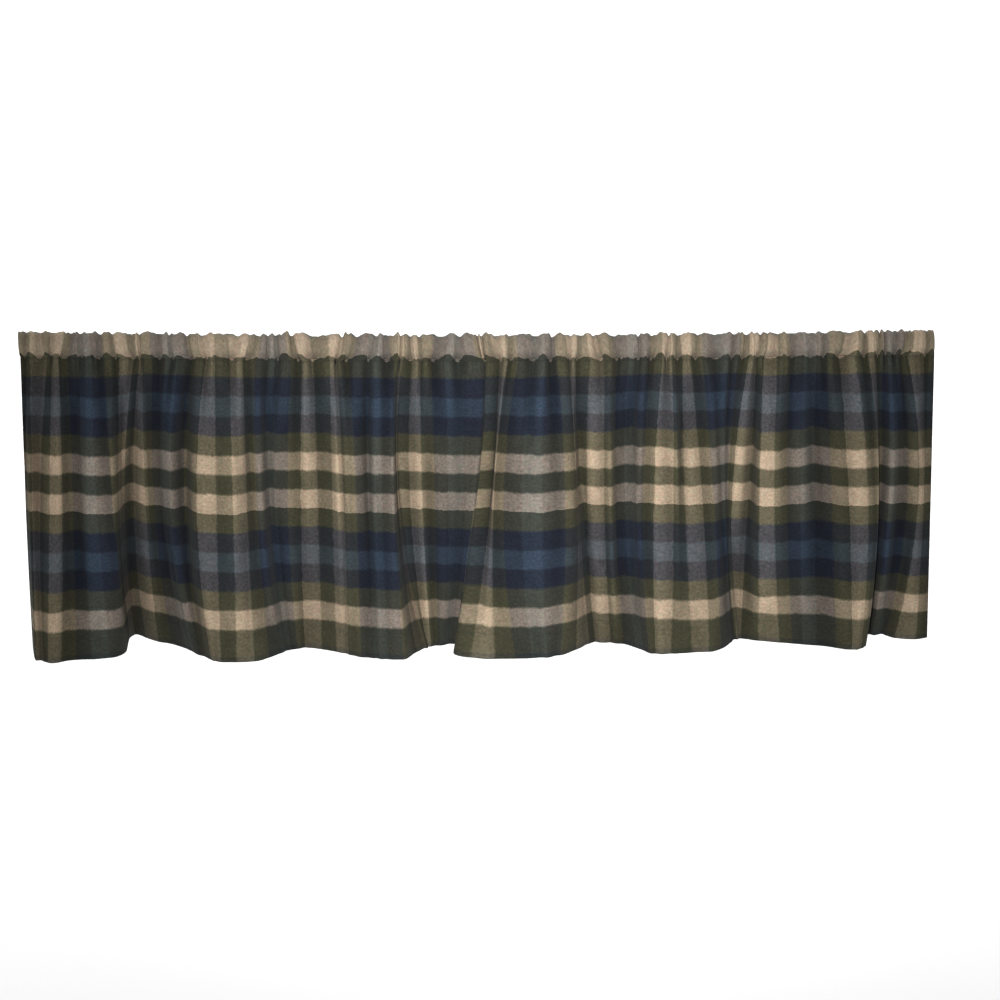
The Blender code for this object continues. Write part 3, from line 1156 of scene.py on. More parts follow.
@dataclass(frozen=True)
class PlaidFinish:
    """Brushed cotton woven in a plaid, read from the cloth's own UV map.

    Warp and weft are mixed as fourth roots of reflectance, which is how a mixture of dark and light
    threads looks to the eye, and a gamma of 4 turns the mixture into reflectance.

    Attributes:
        cloth: the cut cloth, whose bands the stripes follow.
        weft_share: how much of the surface shows weft yarn.
        thread: spacing of the threads in metres.
        edge: how soft the edge of a stripe is, as a share of the whole repeat.
        root: the root in which yarns are given.
        hem_start: place down the cloth below which its stripes end in plain olive.
        hem_fold: place down the cloth of the hem's bottom fold.
        hem_edge: tone of the dark line along the fold, as a root: partly a dark weft and partly painted
            shade of the rounded fold.
        edge_height: half the height of that line.
        valley_tone: how bright the cloth is painted in a valley, as a root: the painted shade of the folds.
        crest_gain: how much brighter it is painted on a crest, as a root.
        glare_haze: how far the whole rod pocket is greyed, as a painted haze of glare.
        rim_grey: how much further a band along the pocket's top edge is greyed.
        grey_tone: the grey that the pocket and its top edge are mixed towards, as a root.
    """

    cloth: CutCloth
    weft_share: float = 0.67
    thread: float = 0.0011
    edge: float = 0.007
    root: float = 4.0
    hem_start: float = 0.350
    hem_fold: float = 0.373
    hem_edge: Triple = (0.445, 0.450, 0.425)
    edge_height: float = 0.0065
    valley_tone: float = 0.875
    crest_gain: float = 0.165
    glare_haze: float = 0.10
    rim_grey: float = 0.35
    grey_tone: Triple = (0.610, 0.615, 0.600)

    def repeat(self, graph: NodeGraph, metres: object, band: float, first: float) -> Socket:
        """Place within the repeat of eight bands, 0 to 1: the remainder of the band count by eight.

        Args:
            graph: the material's nodes.
            metres: distance along the cloth.
            band: width of one band in metres.
            first: band at distance 0.

        Returns:
            The place.
        """
        count = graph.math("MULTIPLY_ADD", metres, 1 / band, first)
        eighth = graph.math("MULTIPLY", count, 1 / len(WARP_SETT))
        return graph.math("FRACT", eighth)

    def place(self, graph: NodeGraph) -> WovenPlace:
        """Where the cloth is read. Threads wander a little, so the stripes' edges do too.

        Args:
            graph: the material's nodes.

        Returns:
            The place, with a wide and a fine noise added to its metres.
        """
        uv = graph.add("ShaderNodeUVMap", uv_map=UV_NAME).outputs[0]
        parts = graph.fed("ShaderNodeSeparateXYZ", (uv,))
        across, down = parts.outputs[0], parts.outputs[1]
        wander = graph.span(graph.noise(uv, 60.0), 0.3, 0.7, -0.0008, 0.0008)
        stray = graph.span(graph.noise(uv, 420.0), 0.3, 0.7, -0.0005, 0.0005)
        drift = graph.math("ADD", wander, stray)
        return WovenPlace(uv, down, graph.math("ADD", across, drift), graph.math("ADD", down, drift))

    def weave(self, graph: NodeGraph, place: WovenPlace) -> tuple[Socket, Socket]:
        """The woven plaid: stripes of warp and weft, mixed by which of the two is on top.

        They take turns in squares of one thread, by the product of two sines. Below the hem's start
        the weft is plain olive, with a darker line along the bottom fold: partly a dark weft, partly painted
        shade.

        Args:
            graph: the material's nodes.
            place: where the cloth is read.

        Returns:
            The colour as a root, and the product of the sines.
        """
        warp_at = self.repeat(graph, place.u, self.cloth.band, 8 + self.cloth.first_band)
        weft_at = self.repeat(graph, place.v, self.cloth.weft_band, 16.0)
        warp = graph.stripes(warp_at, [yarn.value for yarn in WARP_SETT], self.edge)
        weft = graph.stripes(weft_at, [yarn.value for yarn in WEFT_SETT], self.edge)
        in_hem = graph.math("GREATER_THAN", place.v, self.hem_start)
        weft = graph.mix(in_hem, weft, (*Yarn.OLIVE.value, 1.0))
        # The dark line along the hem's bottom fold: partly a dark weft and partly painted shade of the
        # rounded fold.
        from_fold = graph.math("ABSOLUTE", graph.math("SUBTRACT", place.down, self.hem_fold))
        blur = 0.001
        at_edge = graph.span(from_fold, self.edge_height - blur, self.edge_height + blur, 1.0, 0.0)
        weft = graph.mix(at_edge, weft, (*self.hem_edge, 1.0))
        turn_u = graph.math("SINE", graph.math("MULTIPLY", place.u, math.pi / self.thread))
        turn_v = graph.math("SINE", graph.math("MULTIPLY", place.v, math.pi / self.thread))
        over = graph.math("MULTIPLY", turn_u, turn_v)
        uneven = graph.span(graph.noise(place.uv, 260.0, 1.0), 0.3, 0.7, -0.05, 0.05)
        share = graph.math("ADD", graph.math("MULTIPLY_ADD", over, 0.07, self.weft_share), uneven)
        return graph.mix(share, warp, weft), over

    def brushed(self, graph: NodeGraph, colour: Socket, place: WovenPlace, fleck: Socket) -> Socket:
        """Heathers the yarns and brushes the nap: flecks, blotches, thread-long streaks and two tints.

        Args:
            graph: the material's nodes.
            colour: the woven colour as a root.
            place: where the cloth is read.
            fleck: the finest noise.

        Returns:
            The colour as a root.
        """
        blotch = graph.noise(place.uv, 60.0, 2.0)
        streak_at = graph.combine(place.u, graph.math("MULTIPLY", place.v, 7.0))
        streak = graph.noise(streak_at, 110.0, 1.0)
        warmth = graph.noise(graph.combine(place.v, place.u, 3.0), 210.0, 2.0)
        for noise, low, high in ((fleck, 0.935, 1.065), (blotch, 0.975, 1.025), (streak, 0.975, 1.025)):
            colour = graph.times(colour, graph.grey(graph.span(noise, 0.25, 0.75, low, high)))
        warm_share = graph.span(warmth, 0.3, 0.7, 0.0, 1.0)
        tinted = graph.mix(warm_share, (0.985, 1.008, 0.998, 1.0), (1.014, 0.993, 0.999, 1.0))
        return graph.times(colour, tinted)

    def painted_shade_and_grey(self, graph: NodeGraph, colour: Socket, down: Socket) -> Socket:
        """Paints shade by the painted light attribute, darker in valleys and on steep flanks and lighter on
        crests, then greys the pocket with a painted glare haze and greys its top edge further.

        Args:
            graph: the material's nodes.
            colour: the brushed colour as a root.
            down: metres down; minus is above the stitch line.

        Returns:
            The colour as a root.
        """
        # Painted shade and light: the colour is darker in the folds' valleys and on steep flanks and lighter
        # on crests.
        painted_light = graph.add("ShaderNodeAttribute", attribute_type="GEOMETRY", attribute_name=PAINTED_LIGHT_NAME)
        shade_factor = graph.math("MULTIPLY_ADD", painted_light.outputs["Fac"], self.crest_gain, self.valley_tone)
        colour = graph.times(colour, graph.grey(shade_factor))
        # Painted glare haze: the whole pocket is greyed a little.
        hazed = graph.span(down, -0.004, 0.0, self.glare_haze, 0.0)
        colour = graph.mix(hazed, colour, (*self.grey_tone, 1.0))
        # A band along the pocket's top edge is greyed further.
        rim = graph.span(down, -0.025, -0.019, self.rim_grey, 0.0)
        rim = graph.math("MULTIPLY", rim, graph.span(down, -0.040, -0.032, 0.0, 1.0))
        return graph.mix(rim, colour, (*self.grey_tone, 1.0))

    def material(self, name: str) -> bpy.types.Material:
        """Builds the material.

        Args:
            name: the material's name.

        Returns:
            A matt cloth with the plaid, the weave, heathered yarns, a brushed nap and painted shade.
        """
        material = bpy.data.materials.new(name)
        graph = NodeGraph(material)
        place = self.place(graph)
        colour, over = self.weave(graph, place)
        fleck = graph.noise(place.uv, 330.0, 2.0, 0.6)
        colour = self.brushed(graph, colour, place, fleck)
        colour = self.painted_shade_and_grey(graph, colour, place.down)
        reflectance = graph.fed("ShaderNodeGamma", (colour, self.root)).outputs[0]

        # Relief: the threads, then the fuzz of the nap over them.
        threads = graph.bump(graph.math("MULTIPLY", over, over), 0.3, 0.0003)
        nap = graph.bump(fleck, 0.5, 0.0008, threads)
        graph.finish(reflectance, nap, {
            "Roughness": 0.95,
            "Specular IOR Level": 0.1,
            "Sheen Weight": 0.06,
            "Sheen Roughness": 0.6,
            "Sheen Tint": (0.9, 0.9, 0.88, 1.0),
        })
        return material


@dataclass(frozen=True)
class ThreadFinish:
    """Sewing thread: one dark colour, shaded by a noise as fine as its twist.

    Attributes:
        colour: reflectance of the thread.
        twist: size of the noise's spots in metres.
    """

    colour: Triple = (0.035, 0.040, 0.036)
    twist: float = 0.0006

    def material(self, name: str) -> bpy.types.Material:
        """Builds the material from a noise on Object coordinates.

        Args:
            name: the material's name.

        Returns:
            A dull dark thread.
        """
        material = bpy.data.materials.new(name)
        graph = NodeGraph(material)
        place = graph.add("ShaderNodeTexCoord").outputs["Object"]
        noise = graph.noise(place, 1 / self.twist, 1.0)
        dark = tuple(0.7 * part for part in self.colour)
        colour = graph.mix(noise, (*dark, 1.0), (*self.colour, 1.0))
        graph.finish(colour, graph.bump(noise, 1.0, 0.0001), {"Roughness": 0.6})
        return material


# ---------------------------------------------------------------------------------------------
# Sub-assemblies
# ---------------------------------------------------------------------------------------------


# Degrees round the hem's bottom fold at which the sheet has a row of points.
FOLD_ANGLES = (30, 60, 90, 120, 150)


@dataclass
class Skirt:
    """The hanging panel below the stitch line, with its hem turned up to the back.

    Attributes:
        cloth: the cut cloth.
        folds: its main folds.
        gathers: the gathers under the stitch line.
        pocket_height: height of the rod pocket above the stitch line.
        seam_gap: gap between the skirt's top and the pocket's stitch line.
        rod_sag: height of the top edge's ends above its middle.
        width: width of the gathered valance.
        drop_taper: share by which the drop shortens at the right end and lengthens at the left.
        columns: points along the cloth.
        rows: points down the cloth.
        hem_rows: points up the turned hem.
        hem_slit: gap between the skirt and its turned hem.
        seam_tuck: how far the skirt reaches up behind the pocket's front.
        flank_share: scales the depth of all the flanks.
        flank_spread: scales the width of all the flanks.
        crease_share: scales the depth of all the creases.
        near_reach: columns to each side that count as a point's near neighbours.
        near_height: how far before their mean a point stands for its painted light to rise by 1.
        far_reach: columns to each side that count as its far neighbours.
        far_height: the same for those.
    """

    cloth: CutCloth
    folds: FoldTable
    gathers: Gathers
    pocket_height: float = 0.030
    seam_gap: float = 0.0005
    rod_sag: float = 0.006
    width: float = 1.12
    drop_taper: float = 0.010
    columns: int = 760
    rows: int = 52
    hem_rows: int = 8
    hem_slit: float = 0.0004
    seam_tuck: float = 0.002
    flank_share: float = 1.1
    flank_spread: float = 0.72
    crease_share: float = 1.1
    near_reach: int = 9
    near_height: float = 0.007
    far_reach: int = 37
    far_height: float = 0.080

    def rod_height(self, x: np.ndarray) -> np.ndarray:
        """Height of the top edge at x above its middle: the sag times the squared share of half width."""
        return self.rod_sag * (2 * x / self.width) ** 2

    def depth(self, band: np.ndarray, drop: np.ndarray, room: np.ndarray | float) -> np.ndarray:
        """y of the skirt: the fold table's depth, the flanks and `room` times the small folds.

        The small folds are the gathers and the creases. Half of a flank's height has room anywhere.

        Args:
            band: plaid bands.
            drop: drops in metres.
            room: share of the small folds that fits.

        Returns:
            y in metres.
        """
        small = self.gathers.skirt_depth(band, drop)
        for crease in CREASES:
            small = small + self.crease_share * crease.relief(band, drop)
        flanks = self.flank_share * flank_depth(band, drop, self.cloth.drop, self.flank_spread)
        return self.folds.depth(band, drop) + (1 + room) / 2 * flanks + room * small

    def surface(self, band: np.ndarray, drop: np.ndarray) -> np.ndarray:
        """Middle surface of the skirt.

        x is the fold table's and y is the depth, with small folds where they have room. z is the
        sagging stitch line less the drop, which a taper shortens from left to right.

        Args:
            band: plaid bands.
            drop: drops in metres, of the same shape.

        Returns:
            Points, with a last axis of x, y and z.
        """
        x = self.folds.x(band, drop)
        y = self.depth(band, drop, self.folds.room(band, drop))
        taper = 1 - self.drop_taper * 2 * x / self.width
        z = -self.pocket_height - self.seam_gap + self.rod_height(x) - drop * taper
        return np.stack([x, y, z], axis=-1)

    def plaid(self, band: np.ndarray, drop: np.ndarray) -> np.ndarray:
        """Place on the plaid: metres across the cut cloth and metres down from the stitch line."""
        down = drop + self.folds.rise(band, drop) + self.gathers.pull(band, drop)
        return np.stack([self.cloth.across(band), down], axis=-1)

    def ring(self, main: np.ndarray, turned: np.ndarray) -> np.ndarray:
        """The rows of the ring round the sheet.

        They run down the front, round the bottom fold, up the turned hem's outside, down its inside
        and up the back, so that every row lies back to back with another. The fold's rows stand on
        two half circles, one round the other.

        Args:
            main: drops of the rows down the skirt.
            turned: drops of the rows up the turned hem.

        Returns:
            (rows, 3): drop, offset from the middle surface towards the room, and lowering.
        """
        thick, gap = self.cloth.thickness, self.hem_slit
        front, back, centre = thick / 2, -thick / 2, -thick / 2 - gap / 2
        rows = [(drop, front, 0.0) for drop in main]
        for angle in FOLD_ANGLES:
            c, s = math.cos(math.radians(angle)), math.sin(math.radians(angle))
            rows.append((main[-1], centre + self.bend * c, self.bend * s))
        rows += [(drop, back - gap - thick, 0.0) for drop in turned]
        rows += [(drop, back - gap, 0.0) for drop in turned[::-1]]
        for angle in FOLD_ANGLES[::-1]:
            c, s = math.cos(math.radians(angle)), math.sin(math.radians(angle))
            rows.append((main[-1], centre + gap / 2 * c, gap / 2 * s))
        rows += [(drop, back, 0.0) for drop in main[::-1]]
        return np.array(rows)

    @property
    def bend(self) -> float:
        """Outer radius of the hem's bottom fold in metres."""
        return self.cloth.thickness + self.hem_slit / 2

    def layer(self) -> ClothMesh:
        """The skirt as one closed sheet, with its hem folded up behind it.

        Rows down the skirt stand closer at the top, where the gathers are finest: their drop is a sum
        of the row's share and its square. A row of the turned hem takes its normals from the skirt's
        nearest row.

        Returns:
            The sheet.
        """
        band = np.linspace(self.cloth.first_band, self.cloth.last_band, self.columns)
        share = np.linspace(0, 1, self.rows)
        reach = self.cloth.drop - self.bend + self.seam_tuck
        main = reach * (0.6 * share + 0.4 * share**2) - self.seam_tuck
        turned = np.linspace(self.cloth.drop - self.bend, self.cloth.drop - self.cloth.hem, self.hem_rows)
        drop, offset, below = self.ring(main, turned).T[..., None]
        bands, drops = np.meshgrid(band, drop[:, 0])
        middle = self.surface(bands, drops)
        sides = grid_normals(self.surface(*np.meshgrid(band, main)))
        fold = len(FOLD_ANGLES)
        order = np.concatenate([
            np.arange(self.rows), np.full(fold, self.rows - 1),
            np.interp(turned, main, np.arange(self.rows)).round().astype(int),
        ])
        points = middle + sides[np.concatenate([order, order[::-1]])] * offset[..., None]
        points[..., 2] -= below
        along = np.concatenate([main, np.full(fold, self.cloth.drop), 2 * self.cloth.drop - turned])
        along = np.concatenate([along, along[::-1]])[:, None] + 0 * bands
        room = 0.4 + 0.6 * self.folds.room(bands, drops)
        # Painted shade and light from the folds' depth and slope, plus the painted shade patches.
        painted_light = self.painted_light(self.depth(bands, drops, room), middle)
        for patch in PAINTED_SHADE_PATCHES:
            painted_light = painted_light + patch.raised(bands, drops)
        behind = self.rows + fold
        painted_light[behind:] = 1 - painted_light[behind:]
        return ClothMesh(points, self.plaid(bands, along), painted_light)

    def stands(self, depth: np.ndarray, reach: int) -> np.ndarray:
        """How far each point stands before the mean of its neighbours along the row.

        Args:
            depth: (rows, columns) y; towards the room is minus.
            reach: columns to each side that count.

        Returns:
            (rows, columns) heights in metres.
        """
        padded = np.pad(depth, ((0, 0), (reach, reach)), mode="edge")
        window = np.lib.stride_tricks.sliding_window_view(padded, 2 * reach + 1, axis=1)
        return window.mean(axis=-1) - depth

    def painted_light(self, depth: np.ndarray, middle: np.ndarray) -> np.ndarray:
        """Painted light and shade on the skirt: 0, darkest, in a valley to 1, lightest, on a crest.

        It starts at a half. What the point stands before its near neighbours and before its far ones
        raises it, and the steeper the flank it lies on, the lower it is, so steep flanks get painted shade.

        Args:
            depth: (rows, columns) y of the skirt.
            middle: (rows, columns, 3) its middle surface.

        Returns:
            (rows, columns) painted light, 0 to 1.
        """
        near = self.stands(depth, self.near_reach) / self.near_height
        far = self.stands(depth, self.far_reach) / self.far_height
        facing = np.abs(grid_normals(middle)[..., 1])
        return np.clip(0.5 + near + far, 0, 1) * (0.5 + 0.5 * facing)

    def build(self, material: bpy.types.Material) -> bpy.types.Object:
        """Makes the piece, hides the imported part that it replaces and hangs it from the body.

        Args:
            material: the plaid cloth.

        Returns:
            The piece.
        """
        piece = self.layer().piece("skirt_cloth", material)
        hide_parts("skirt")
        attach(piece, BODY)
        return piece


@dataclass(frozen=True)
class SectionPoint:
    """One point of the rod pocket's section, in millimetres.

    Attributes:
        y: its depth; towards the room is minus.
        z: its height; the top edge is at 0.
        gather: how far a gather stands out there.
    """

    y: float
    z: float
    gather: float


POCKET_SECTION = [
    SectionPoint(-1.4, -30.2, 0.0),
    SectionPoint(-4.6, -27.4, 1.6),
    SectionPoint(-7.6, -23.0, 3.0),
    SectionPoint(-10.0, -18.6, 4.2),
    SectionPoint(-10.6, -14.0, 4.8),
    SectionPoint(-10.0, -9.0, 4.8),
    SectionPoint(-8.0, -4.6, 4.6),
    SectionPoint(-4.6, -1.8, 4.2),
    SectionPoint(0.0, -0.8, 3.8),
    SectionPoint(4.4, -1.8, 2.8),
    SectionPoint(7.6, -4.6, 3.0),
    SectionPoint(9.4, -9.0, 3.2),
    SectionPoint(9.8, -14.0, 3.2),
    SectionPoint(9.0, -18.8, 2.6),
    SectionPoint(7.0, -23.0, 2.0),
    SectionPoint(4.2, -27.2, 0.9),
    SectionPoint(2.2, -30.2, 0.2),
]


@dataclass
class RodPocket:
    """The sleeve that the rod goes through, gathered along its stitch line and open at both ends.

    Attributes:
        skirt: the skirt below, whose stitch line it shares.
        lag: how much further along a gather reaches the back than the front, in gathers.
        sway: how far the top of the pocket slides along the rod, in metres.
        ruffle: how far the fine ruffles along the top stand out, in metres.
        around: points round the section.
        stretch: how much lower the plaid's stripes lie than on the skirt, as a share.
        light_level: the painted light half way between valley and crest, in the middle of the valance.
        light_height: how far a crest raises it.
        end_light: how much further it rises towards the ends of the valance.
    """

    skirt: Skirt
    lag: float = 0.35
    sway: float = 0.0028
    ruffle: float = 0.0011
    around: int = 48
    stretch: float = 0.64
    light_level: float = 0.56
    light_height: float = 0.3
    end_light: float = 0.35

    def section(self, name: str, at: np.ndarray) -> np.ndarray:
        """A column of the section table, read smoothly.

        Args:
            name: the column's name.
            at: 0 at the front seam to 1 at the back.

        Returns:
            Metres, in the shape of `at`.
        """
        knots = np.linspace(0, 1, len(POCKET_SECTION))
        values = np.array([getattr(point, name) for point in POCKET_SECTION]) * MILLIMETRE
        return smooth_through(knots, values, at)

    def surface(self, band: np.ndarray, at: np.ndarray) -> np.ndarray:
        """Outer surface of the pocket.

        The section's point moves outwards from the section's centre by its gather times the gathers'
        wave, which lags towards the back. Wrinkles and fine ruffles, which are a sine with 1.85 waves
        for each gather, add to it. Near the stitch line the whole section sways with the skirt's
        gathers. Over the top the cloth slides a little along the rod.

        Args:
            band: plaid bands.
            at: 0 at the front of the stitch line to 1 at its back, of the same shape.

        Returns:
            Points, with a last axis of x, y and z.
        """
        gathers = self.skirt.gathers
        y, z, stand = (self.section(name, at) for name in ("y", "z", "gather"))
        centre = -self.skirt.pocket_height / 2
        length = np.hypot(y, z - centre)
        strength = gathers.strength(band) * gathers.each(band, 0.5, 1.3, Draw.HEIGHT)
        crest = strength * (1 + gathers.wave(band, self.lag * at)) / 2 * stand
        crest = crest + gathers.wrinkles(band, 0.016 * np.sin(np.pi * at))
        over_top = np.sin(np.pi * np.clip(at, 0, 1))
        ruffle = np.sin(3.7 * np.pi * gathers.phase(band) + 2.0 * at)
        ruffle = ruffle * gathers.each(band, 0.1, 1.6, Draw.RUFFLE)
        crest = crest + self.ruffle * ruffle * strength * over_top**2
        near = np.clip((centre - z) / -centre, 0, 1.05) ** 2
        sway = -gathers.depth * gathers.wave(band) * strength * near
        slide = self.sway * (np.sin(0.71 * band) + 0.6 * np.sin(1.9 * band + 2.0)) * np.sin(np.pi * at)
        seam = self.skirt.folds.x(band, np.zeros_like(band))
        x = seam + (self.skirt.folds.column("x_pocket", band) - seam) * over_top**0.8
        ends = np.minimum(band - self.skirt.cloth.first_band, self.skirt.cloth.last_band - band)
        x = x + slide * smooth_step(0.0, 2.5, ends)
        y = y + y / length * crest + sway
        z = z + (z - centre) / length * crest + self.skirt.rod_height(x)
        return np.stack([x, y, z], axis=-1)

    def layer(self) -> ClothMesh:
        """The pocket as a closed thin layer, with its inside one thickness within its outside.

        Returns:
            The layer.
        """
        cloth = self.skirt.cloth
        band = np.linspace(cloth.first_band, cloth.last_band, self.skirt.columns)
        at = np.linspace(0, 1, self.around)
        bands, ats = np.meshgrid(band, at)
        outer = self.surface(bands, ats)
        inward = grid_normals(outer)
        inner = outer + inward * cloth.thickness
        points = np.concatenate([outer, inner[::-1]])
        run = np.zeros(self.around)
        steps = np.hypot(np.diff(self.section("y", at)), np.diff(self.section("z", at)))
        run[1:] = np.cumsum(steps)
        run = np.broadcast_to(run[:, None], bands.shape)
        down = self.skirt.gathers.pull(bands, -run) - self.stretch * run
        uv = np.stack([cloth.across(bands), down], axis=-1)
        uv = np.concatenate([uv, uv[::-1]])
        # Painted shade and light on the pocket: lighter on the gathers' crests, darker in their valleys, and
        # lighter towards the ends.
        painted_light = self.light_level + self.light_height * self.skirt.gathers.wave(bands, self.lag * ats)
        painted_light = painted_light + self.end_light * cloth.from_middle(bands) ** 3
        return ClothMesh(points, uv, np.concatenate([painted_light, painted_light[::-1]]))

    def build(self, material: bpy.types.Material) -> bpy.types.Object:
        """Makes the piece, hides the imported part that it replaces and hangs it from the body.

        Args:
            material: the plaid cloth.

        Returns:
            The piece.
        """
        piece = self.layer().piece("pocket_cloth", material)
        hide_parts("rod_pocket")
        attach(piece, BODY)
        return piece


@dataclass
class StitchRow:
    """A row of machine stitches along the front of the skirt.

    Attributes:
        skirt: the skirt that it lies on.
        name: the piece's name.
        drop: its drop below the pocket's stitch line.
        length: length of one stitch and the gap after it.
        share: share of that length that shows as thread.
        thread: half the thread's thickness.
    """

    skirt: Skirt
    name: str
    drop: float
    length: float = 0.0034
    share: float = 0.72
    thread: float = 0.00028

    def faces(self, count: int) -> list[list[int]]:
        """Faces of all the stitches: 18 quads between each one's rings and 12 triangles at its tips.

        Args:
            count: how many stitches there are.

        Returns:
            Point numbers, each face turned outwards.
        """
        ring, step = np.meshgrid(np.arange(3), np.arange(6), indexing="ij")
        a = ring * 6 + step
        b = ring * 6 + (step + 1) % 6
        quads = np.stack([a, b, b + 6, a + 6], axis=-1).reshape(-1, 4)
        first, last = np.full(6, 24), np.full(6, 25)
        tips = np.concatenate([
            np.stack([first, b[0], a[0]], axis=-1),
            np.stack([last, a[2] + 6, b[2] + 6], axis=-1),
        ])
        start = (np.arange(count) * 26)[:, None, None]
        return (quads + start).reshape(-1, 4).tolist() + (tips + start).reshape(-1, 3).tolist()

    def build(self, material: bpy.types.Material) -> bpy.types.Object:
        """Makes every stitch as a short rounded rod: four rings of six points, closed by two tips.

        A stitch's middle is placed at even steps along the gathered cloth's true length. Its rings
        stand at shares of its half length along the cloth, and each ring is a circle of the thread's
        radius, smaller towards the tips, that lies half sunk in the cloth's front.

        Args:
            material: the thread.

        Returns:
            The piece.
        """
        cloth = self.skirt.cloth
        inset, samples, reach = 0.1, 6000, 0.0015
        band = np.linspace(cloth.first_band + inset, cloth.last_band - inset, samples)
        rows = self.drop + np.array([-reach, 0.0, reach])
        grid = self.skirt.surface(*np.meshgrid(band, rows))
        line = grid[1]
        front = grid_normals(grid)[1]
        run = np.concatenate([[0.0], np.cumsum(np.linalg.norm(np.diff(line, axis=0), axis=1))])
        count = int(run[-1] / self.length)
        centre = (np.arange(count) + 0.5) * self.length
        ring_at = np.array([-1.0, -0.9, -0.5, 0.5, 0.9, 1.0])
        radius = np.array([0.0, 0.55, 1.0, 1.0, 0.55, 0.0]) * self.thread
        along = centre[:, None] + ring_at * self.length * self.share / 2
        place = np.stack([np.interp(along, run, line[:, i]) for i in range(3)], axis=-1)
        out = np.stack([np.interp(along, run, front[:, i]) for i in range(3)], axis=-1)
        place = place + out * (cloth.thickness / 2 + 0.25 * self.thread)
        ahead = np.gradient(place, axis=1)
        ahead = ahead / np.linalg.norm(ahead, axis=-1, keepdims=True)
        side = np.cross(ahead, out)
        turn = np.arange(6) * np.pi / 3
        circle = (
            out[..., None, :] * np.cos(turn)[:, None]
            + side[..., None, :] * np.sin(turn)[:, None]
        ) * radius[:, None, None]
        rings = (place[..., None, :] + circle)[:, 1:5].reshape(count, 24, 3)
        points = np.concatenate([rings, place[:, [0, 5]]], axis=1)
        mesh = bpy.data.meshes.new(self.name)
        mesh.from_pydata(points.reshape(-1, 3), [], self.faces(count))
        mesh.materials.append(material)
        mesh.shade_smooth()
        piece = placed(self.name, mesh)
        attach(piece, BODY)
        return piece


# ---------------------------------------------------------------------------------------------
# The studio
# ---------------------------------------------------------------------------------------------


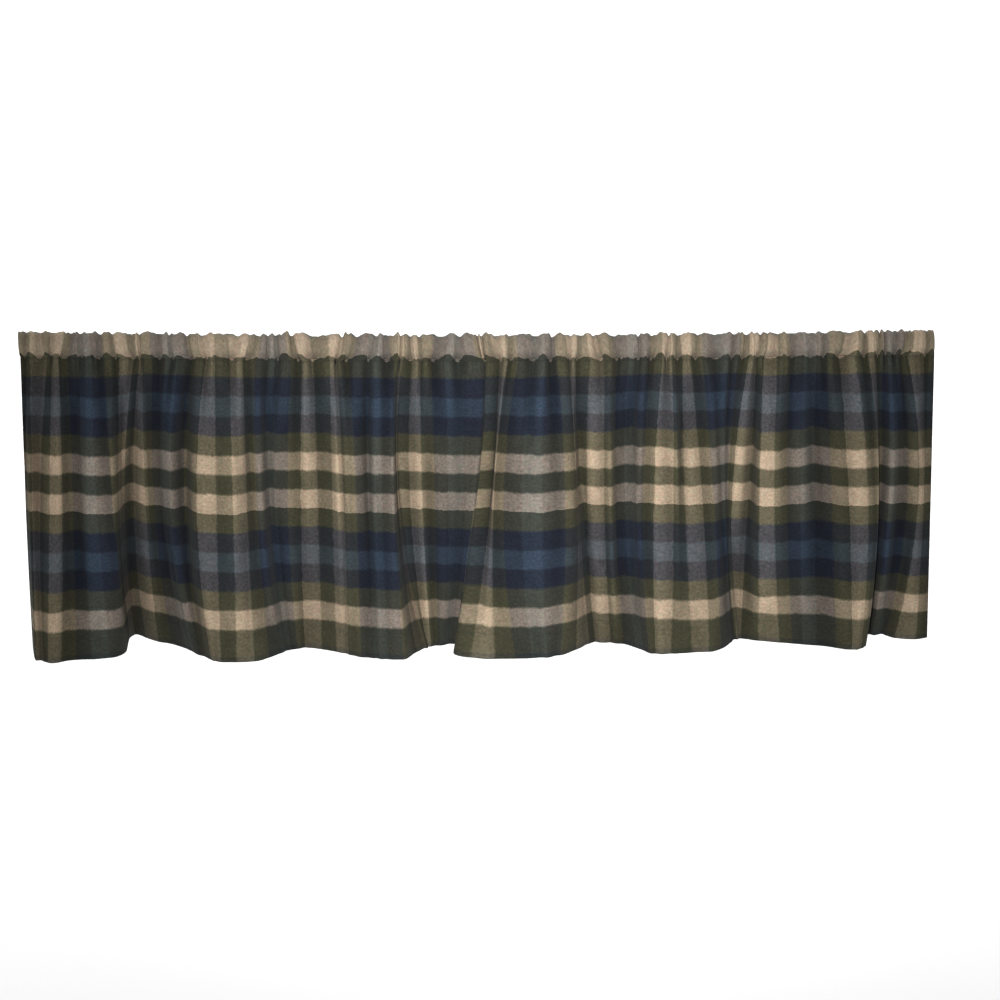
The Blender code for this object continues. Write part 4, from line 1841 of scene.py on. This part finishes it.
@dataclass
class Studio:
    """A pale floor, two lamps, even light from all sides and a camera at the photograph's angle.

    Attributes:
        floor_height: z of the floor.
        target: the point that the camera's aim is worked out from.
        distance: from the camera to that point.
        elevation: the camera's height above that point, in degrees.
        yaw: how far the camera stands to the left, in degrees.
        roll: how far the camera is turned about its aim, in degrees.
        focal: focal length in pixels of a 1000-pixel picture.
        principal: pixel at which the target shows.
        picture: width and height of the picture in pixels.
        aim: the point at which the key beam is aimed.
        white: reflectance of the floor.
        ambient: strength of the even light from all sides.
    """

    floor_height: float = -1.5
    target: Triple = (-0.004, -0.01, -0.19)
    distance: float = 4.6
    elevation: float = 17.0
    yaw: float = 4.0
    roll: float = 0.9
    focal: float = 3725.0
    principal: tuple[float, float] = (478.0, 487.0)
    picture: float = 1000.0
    aim: Triple = (0.03, 0.0, -0.20)
    white: float = 0.93
    ambient: float = 0.07

    def camera(self) -> bpy.types.Object:
        """Places the camera, and turns it until the target shows at its pixel.

        Returns:
            The camera, which is also made the scene's own.
        """
        e, a, r = (math.radians(angle) for angle in (self.elevation, self.yaw, self.roll))
        away = Vector((-math.sin(a) * math.cos(e), -math.cos(a) * math.cos(e), math.sin(e)))
        place = Vector(self.target) + away * self.distance
        forward = -away
        right = forward.cross(Vector((0, 0, 1))).normalized()
        up = right.cross(forward)
        right, up = right * math.cos(r) + up * math.sin(r), up * math.cos(r) - right * math.sin(r)
        aside = (self.picture / 2 - self.principal[0]) / self.focal
        below = (self.picture / 2 - self.principal[1]) / self.focal
        forward = (forward + right * aside - up * below).normalized()
        right = forward.cross(up).normalized()
        up = right.cross(forward)
        data = bpy.data.cameras.new("camera")
        data.sensor_width = 36.0
        data.lens = self.focal * data.sensor_width / self.picture
        data.clip_start, data.clip_end = 0.05, 200.0
        camera = placed("camera", data)
        turn = Matrix((right, up, -forward)).transposed().to_4x4()
        camera.matrix_world = Matrix.Translation(place) @ turn
        bpy.context.scene.camera = camera
        return camera

    def floor(self) -> bpy.types.Object:
        """Lays a large pale floor.

        Returns:
            The floor.
        """
        reach = 40.0
        corners = [(-reach, -reach), (reach, -reach), (reach, reach), (-reach, reach)]
        mesh = bpy.data.meshes.new("floor")
        mesh.from_pydata([(x, y, self.floor_height) for x, y in corners], [], [(0, 1, 2, 3)])
        material = bpy.data.materials.new("floor")
        material.use_nodes = True
        shader = material.node_tree.nodes["Principled BSDF"]
        shader.inputs["Base Color"].default_value = (self.white, self.white, self.white, 1.0)
        shader.inputs["Roughness"].default_value = 0.9
        mesh.materials.append(material)
        floor = placed("floor", mesh)
        return floor

    def light(self, name: str, place: Triple, size: float, power: float) -> bpy.types.Object:
        """A square soft light that shines straight down.

        Args:
            name: the lamp's name.
            place: where it hangs.
            size: its side in metres.
            power: its power in watts.

        Returns:
            The lamp.
        """
        data = bpy.data.lights.new(name, "AREA")
        data.shape = "SQUARE"
        data.size = size
        data.energy = power
        lamp = placed(name, data)
        lamp.location = place
        return lamp

    def beam(self, name: str, place: Triple, spot: float, power: float) -> bpy.types.Object:
        """A soft beam on the valance, brightest where it is aimed and fading towards the ends.

        Args:
            name: the lamp's name.
            place: where it stands.
            spot: the beam's full angle in degrees.
            power: its power in watts.

        Returns:
            The lamp.
        """
        data = bpy.data.lights.new(name, "SPOT")
        data.shadow_soft_size = 0.22
        data.spot_size = math.radians(spot)
        data.spot_blend = 1.0
        data.energy = power
        lamp = placed(name, data)
        lamp.location = place
        way = Vector(self.aim) - Vector(place)
        lamp.rotation_euler = way.to_track_quat("-Z", "Y").to_euler()
        return lamp

    def world(self) -> None:
        """Even pale light from all sides."""
        world = bpy.data.worlds.new("studio")
        world.use_nodes = True
        background = world.node_tree.nodes["Background"]
        background.inputs["Color"].default_value = (1.0, 1.0, 1.0, 1.0)
        background.inputs["Strength"].default_value = self.ambient
        bpy.context.scene.world = world

    def build(self) -> None:
        """Sets up the whole studio."""
        self.world()
        self.floor()
        self.beam("key", place=(-0.55, -4.25, 1.15), spot=19.5, power=890.0)
        self.light("backdrop_light", place=(0.0, 8.2, 1.6), size=15.0, power=1200.0)
        self.camera()
        bpy.context.scene.view_settings.view_transform = "Standard"


def main() -> None:
    """Builds the cloth, its stitching and the studio, in order."""
    logging.basicConfig(level=logging.INFO, format="%(name)s: %(message)s")
    cloth = CutCloth()
    folds = FoldTable(tuple(FOLDS), cloth.drop)
    gathers = Gathers(cloth, folds)
    plaid = PlaidFinish(cloth).material("plaid_cotton")
    skirt = Skirt(cloth, folds, gathers)
    pocket = RodPocket(skirt)
    skirt_piece = skirt.build(plaid)
    pocket_piece = pocket.build(plaid)
    thread = ThreadFinish().material("dark_thread")
    seam = StitchRow(skirt, "seam_stitches", drop=0.0016).build(thread)
    hem = StitchRow(skirt, "hem_stitches", drop=cloth.drop - cloth.hem + 0.002).build(thread)
    for piece in (skirt_piece, pocket_piece, seam, hem):
        log.info("%s: %d faces", piece.name, len(piece.data.polygons))
    Studio().build()
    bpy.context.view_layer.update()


if __name__ == "__main__":
    main()
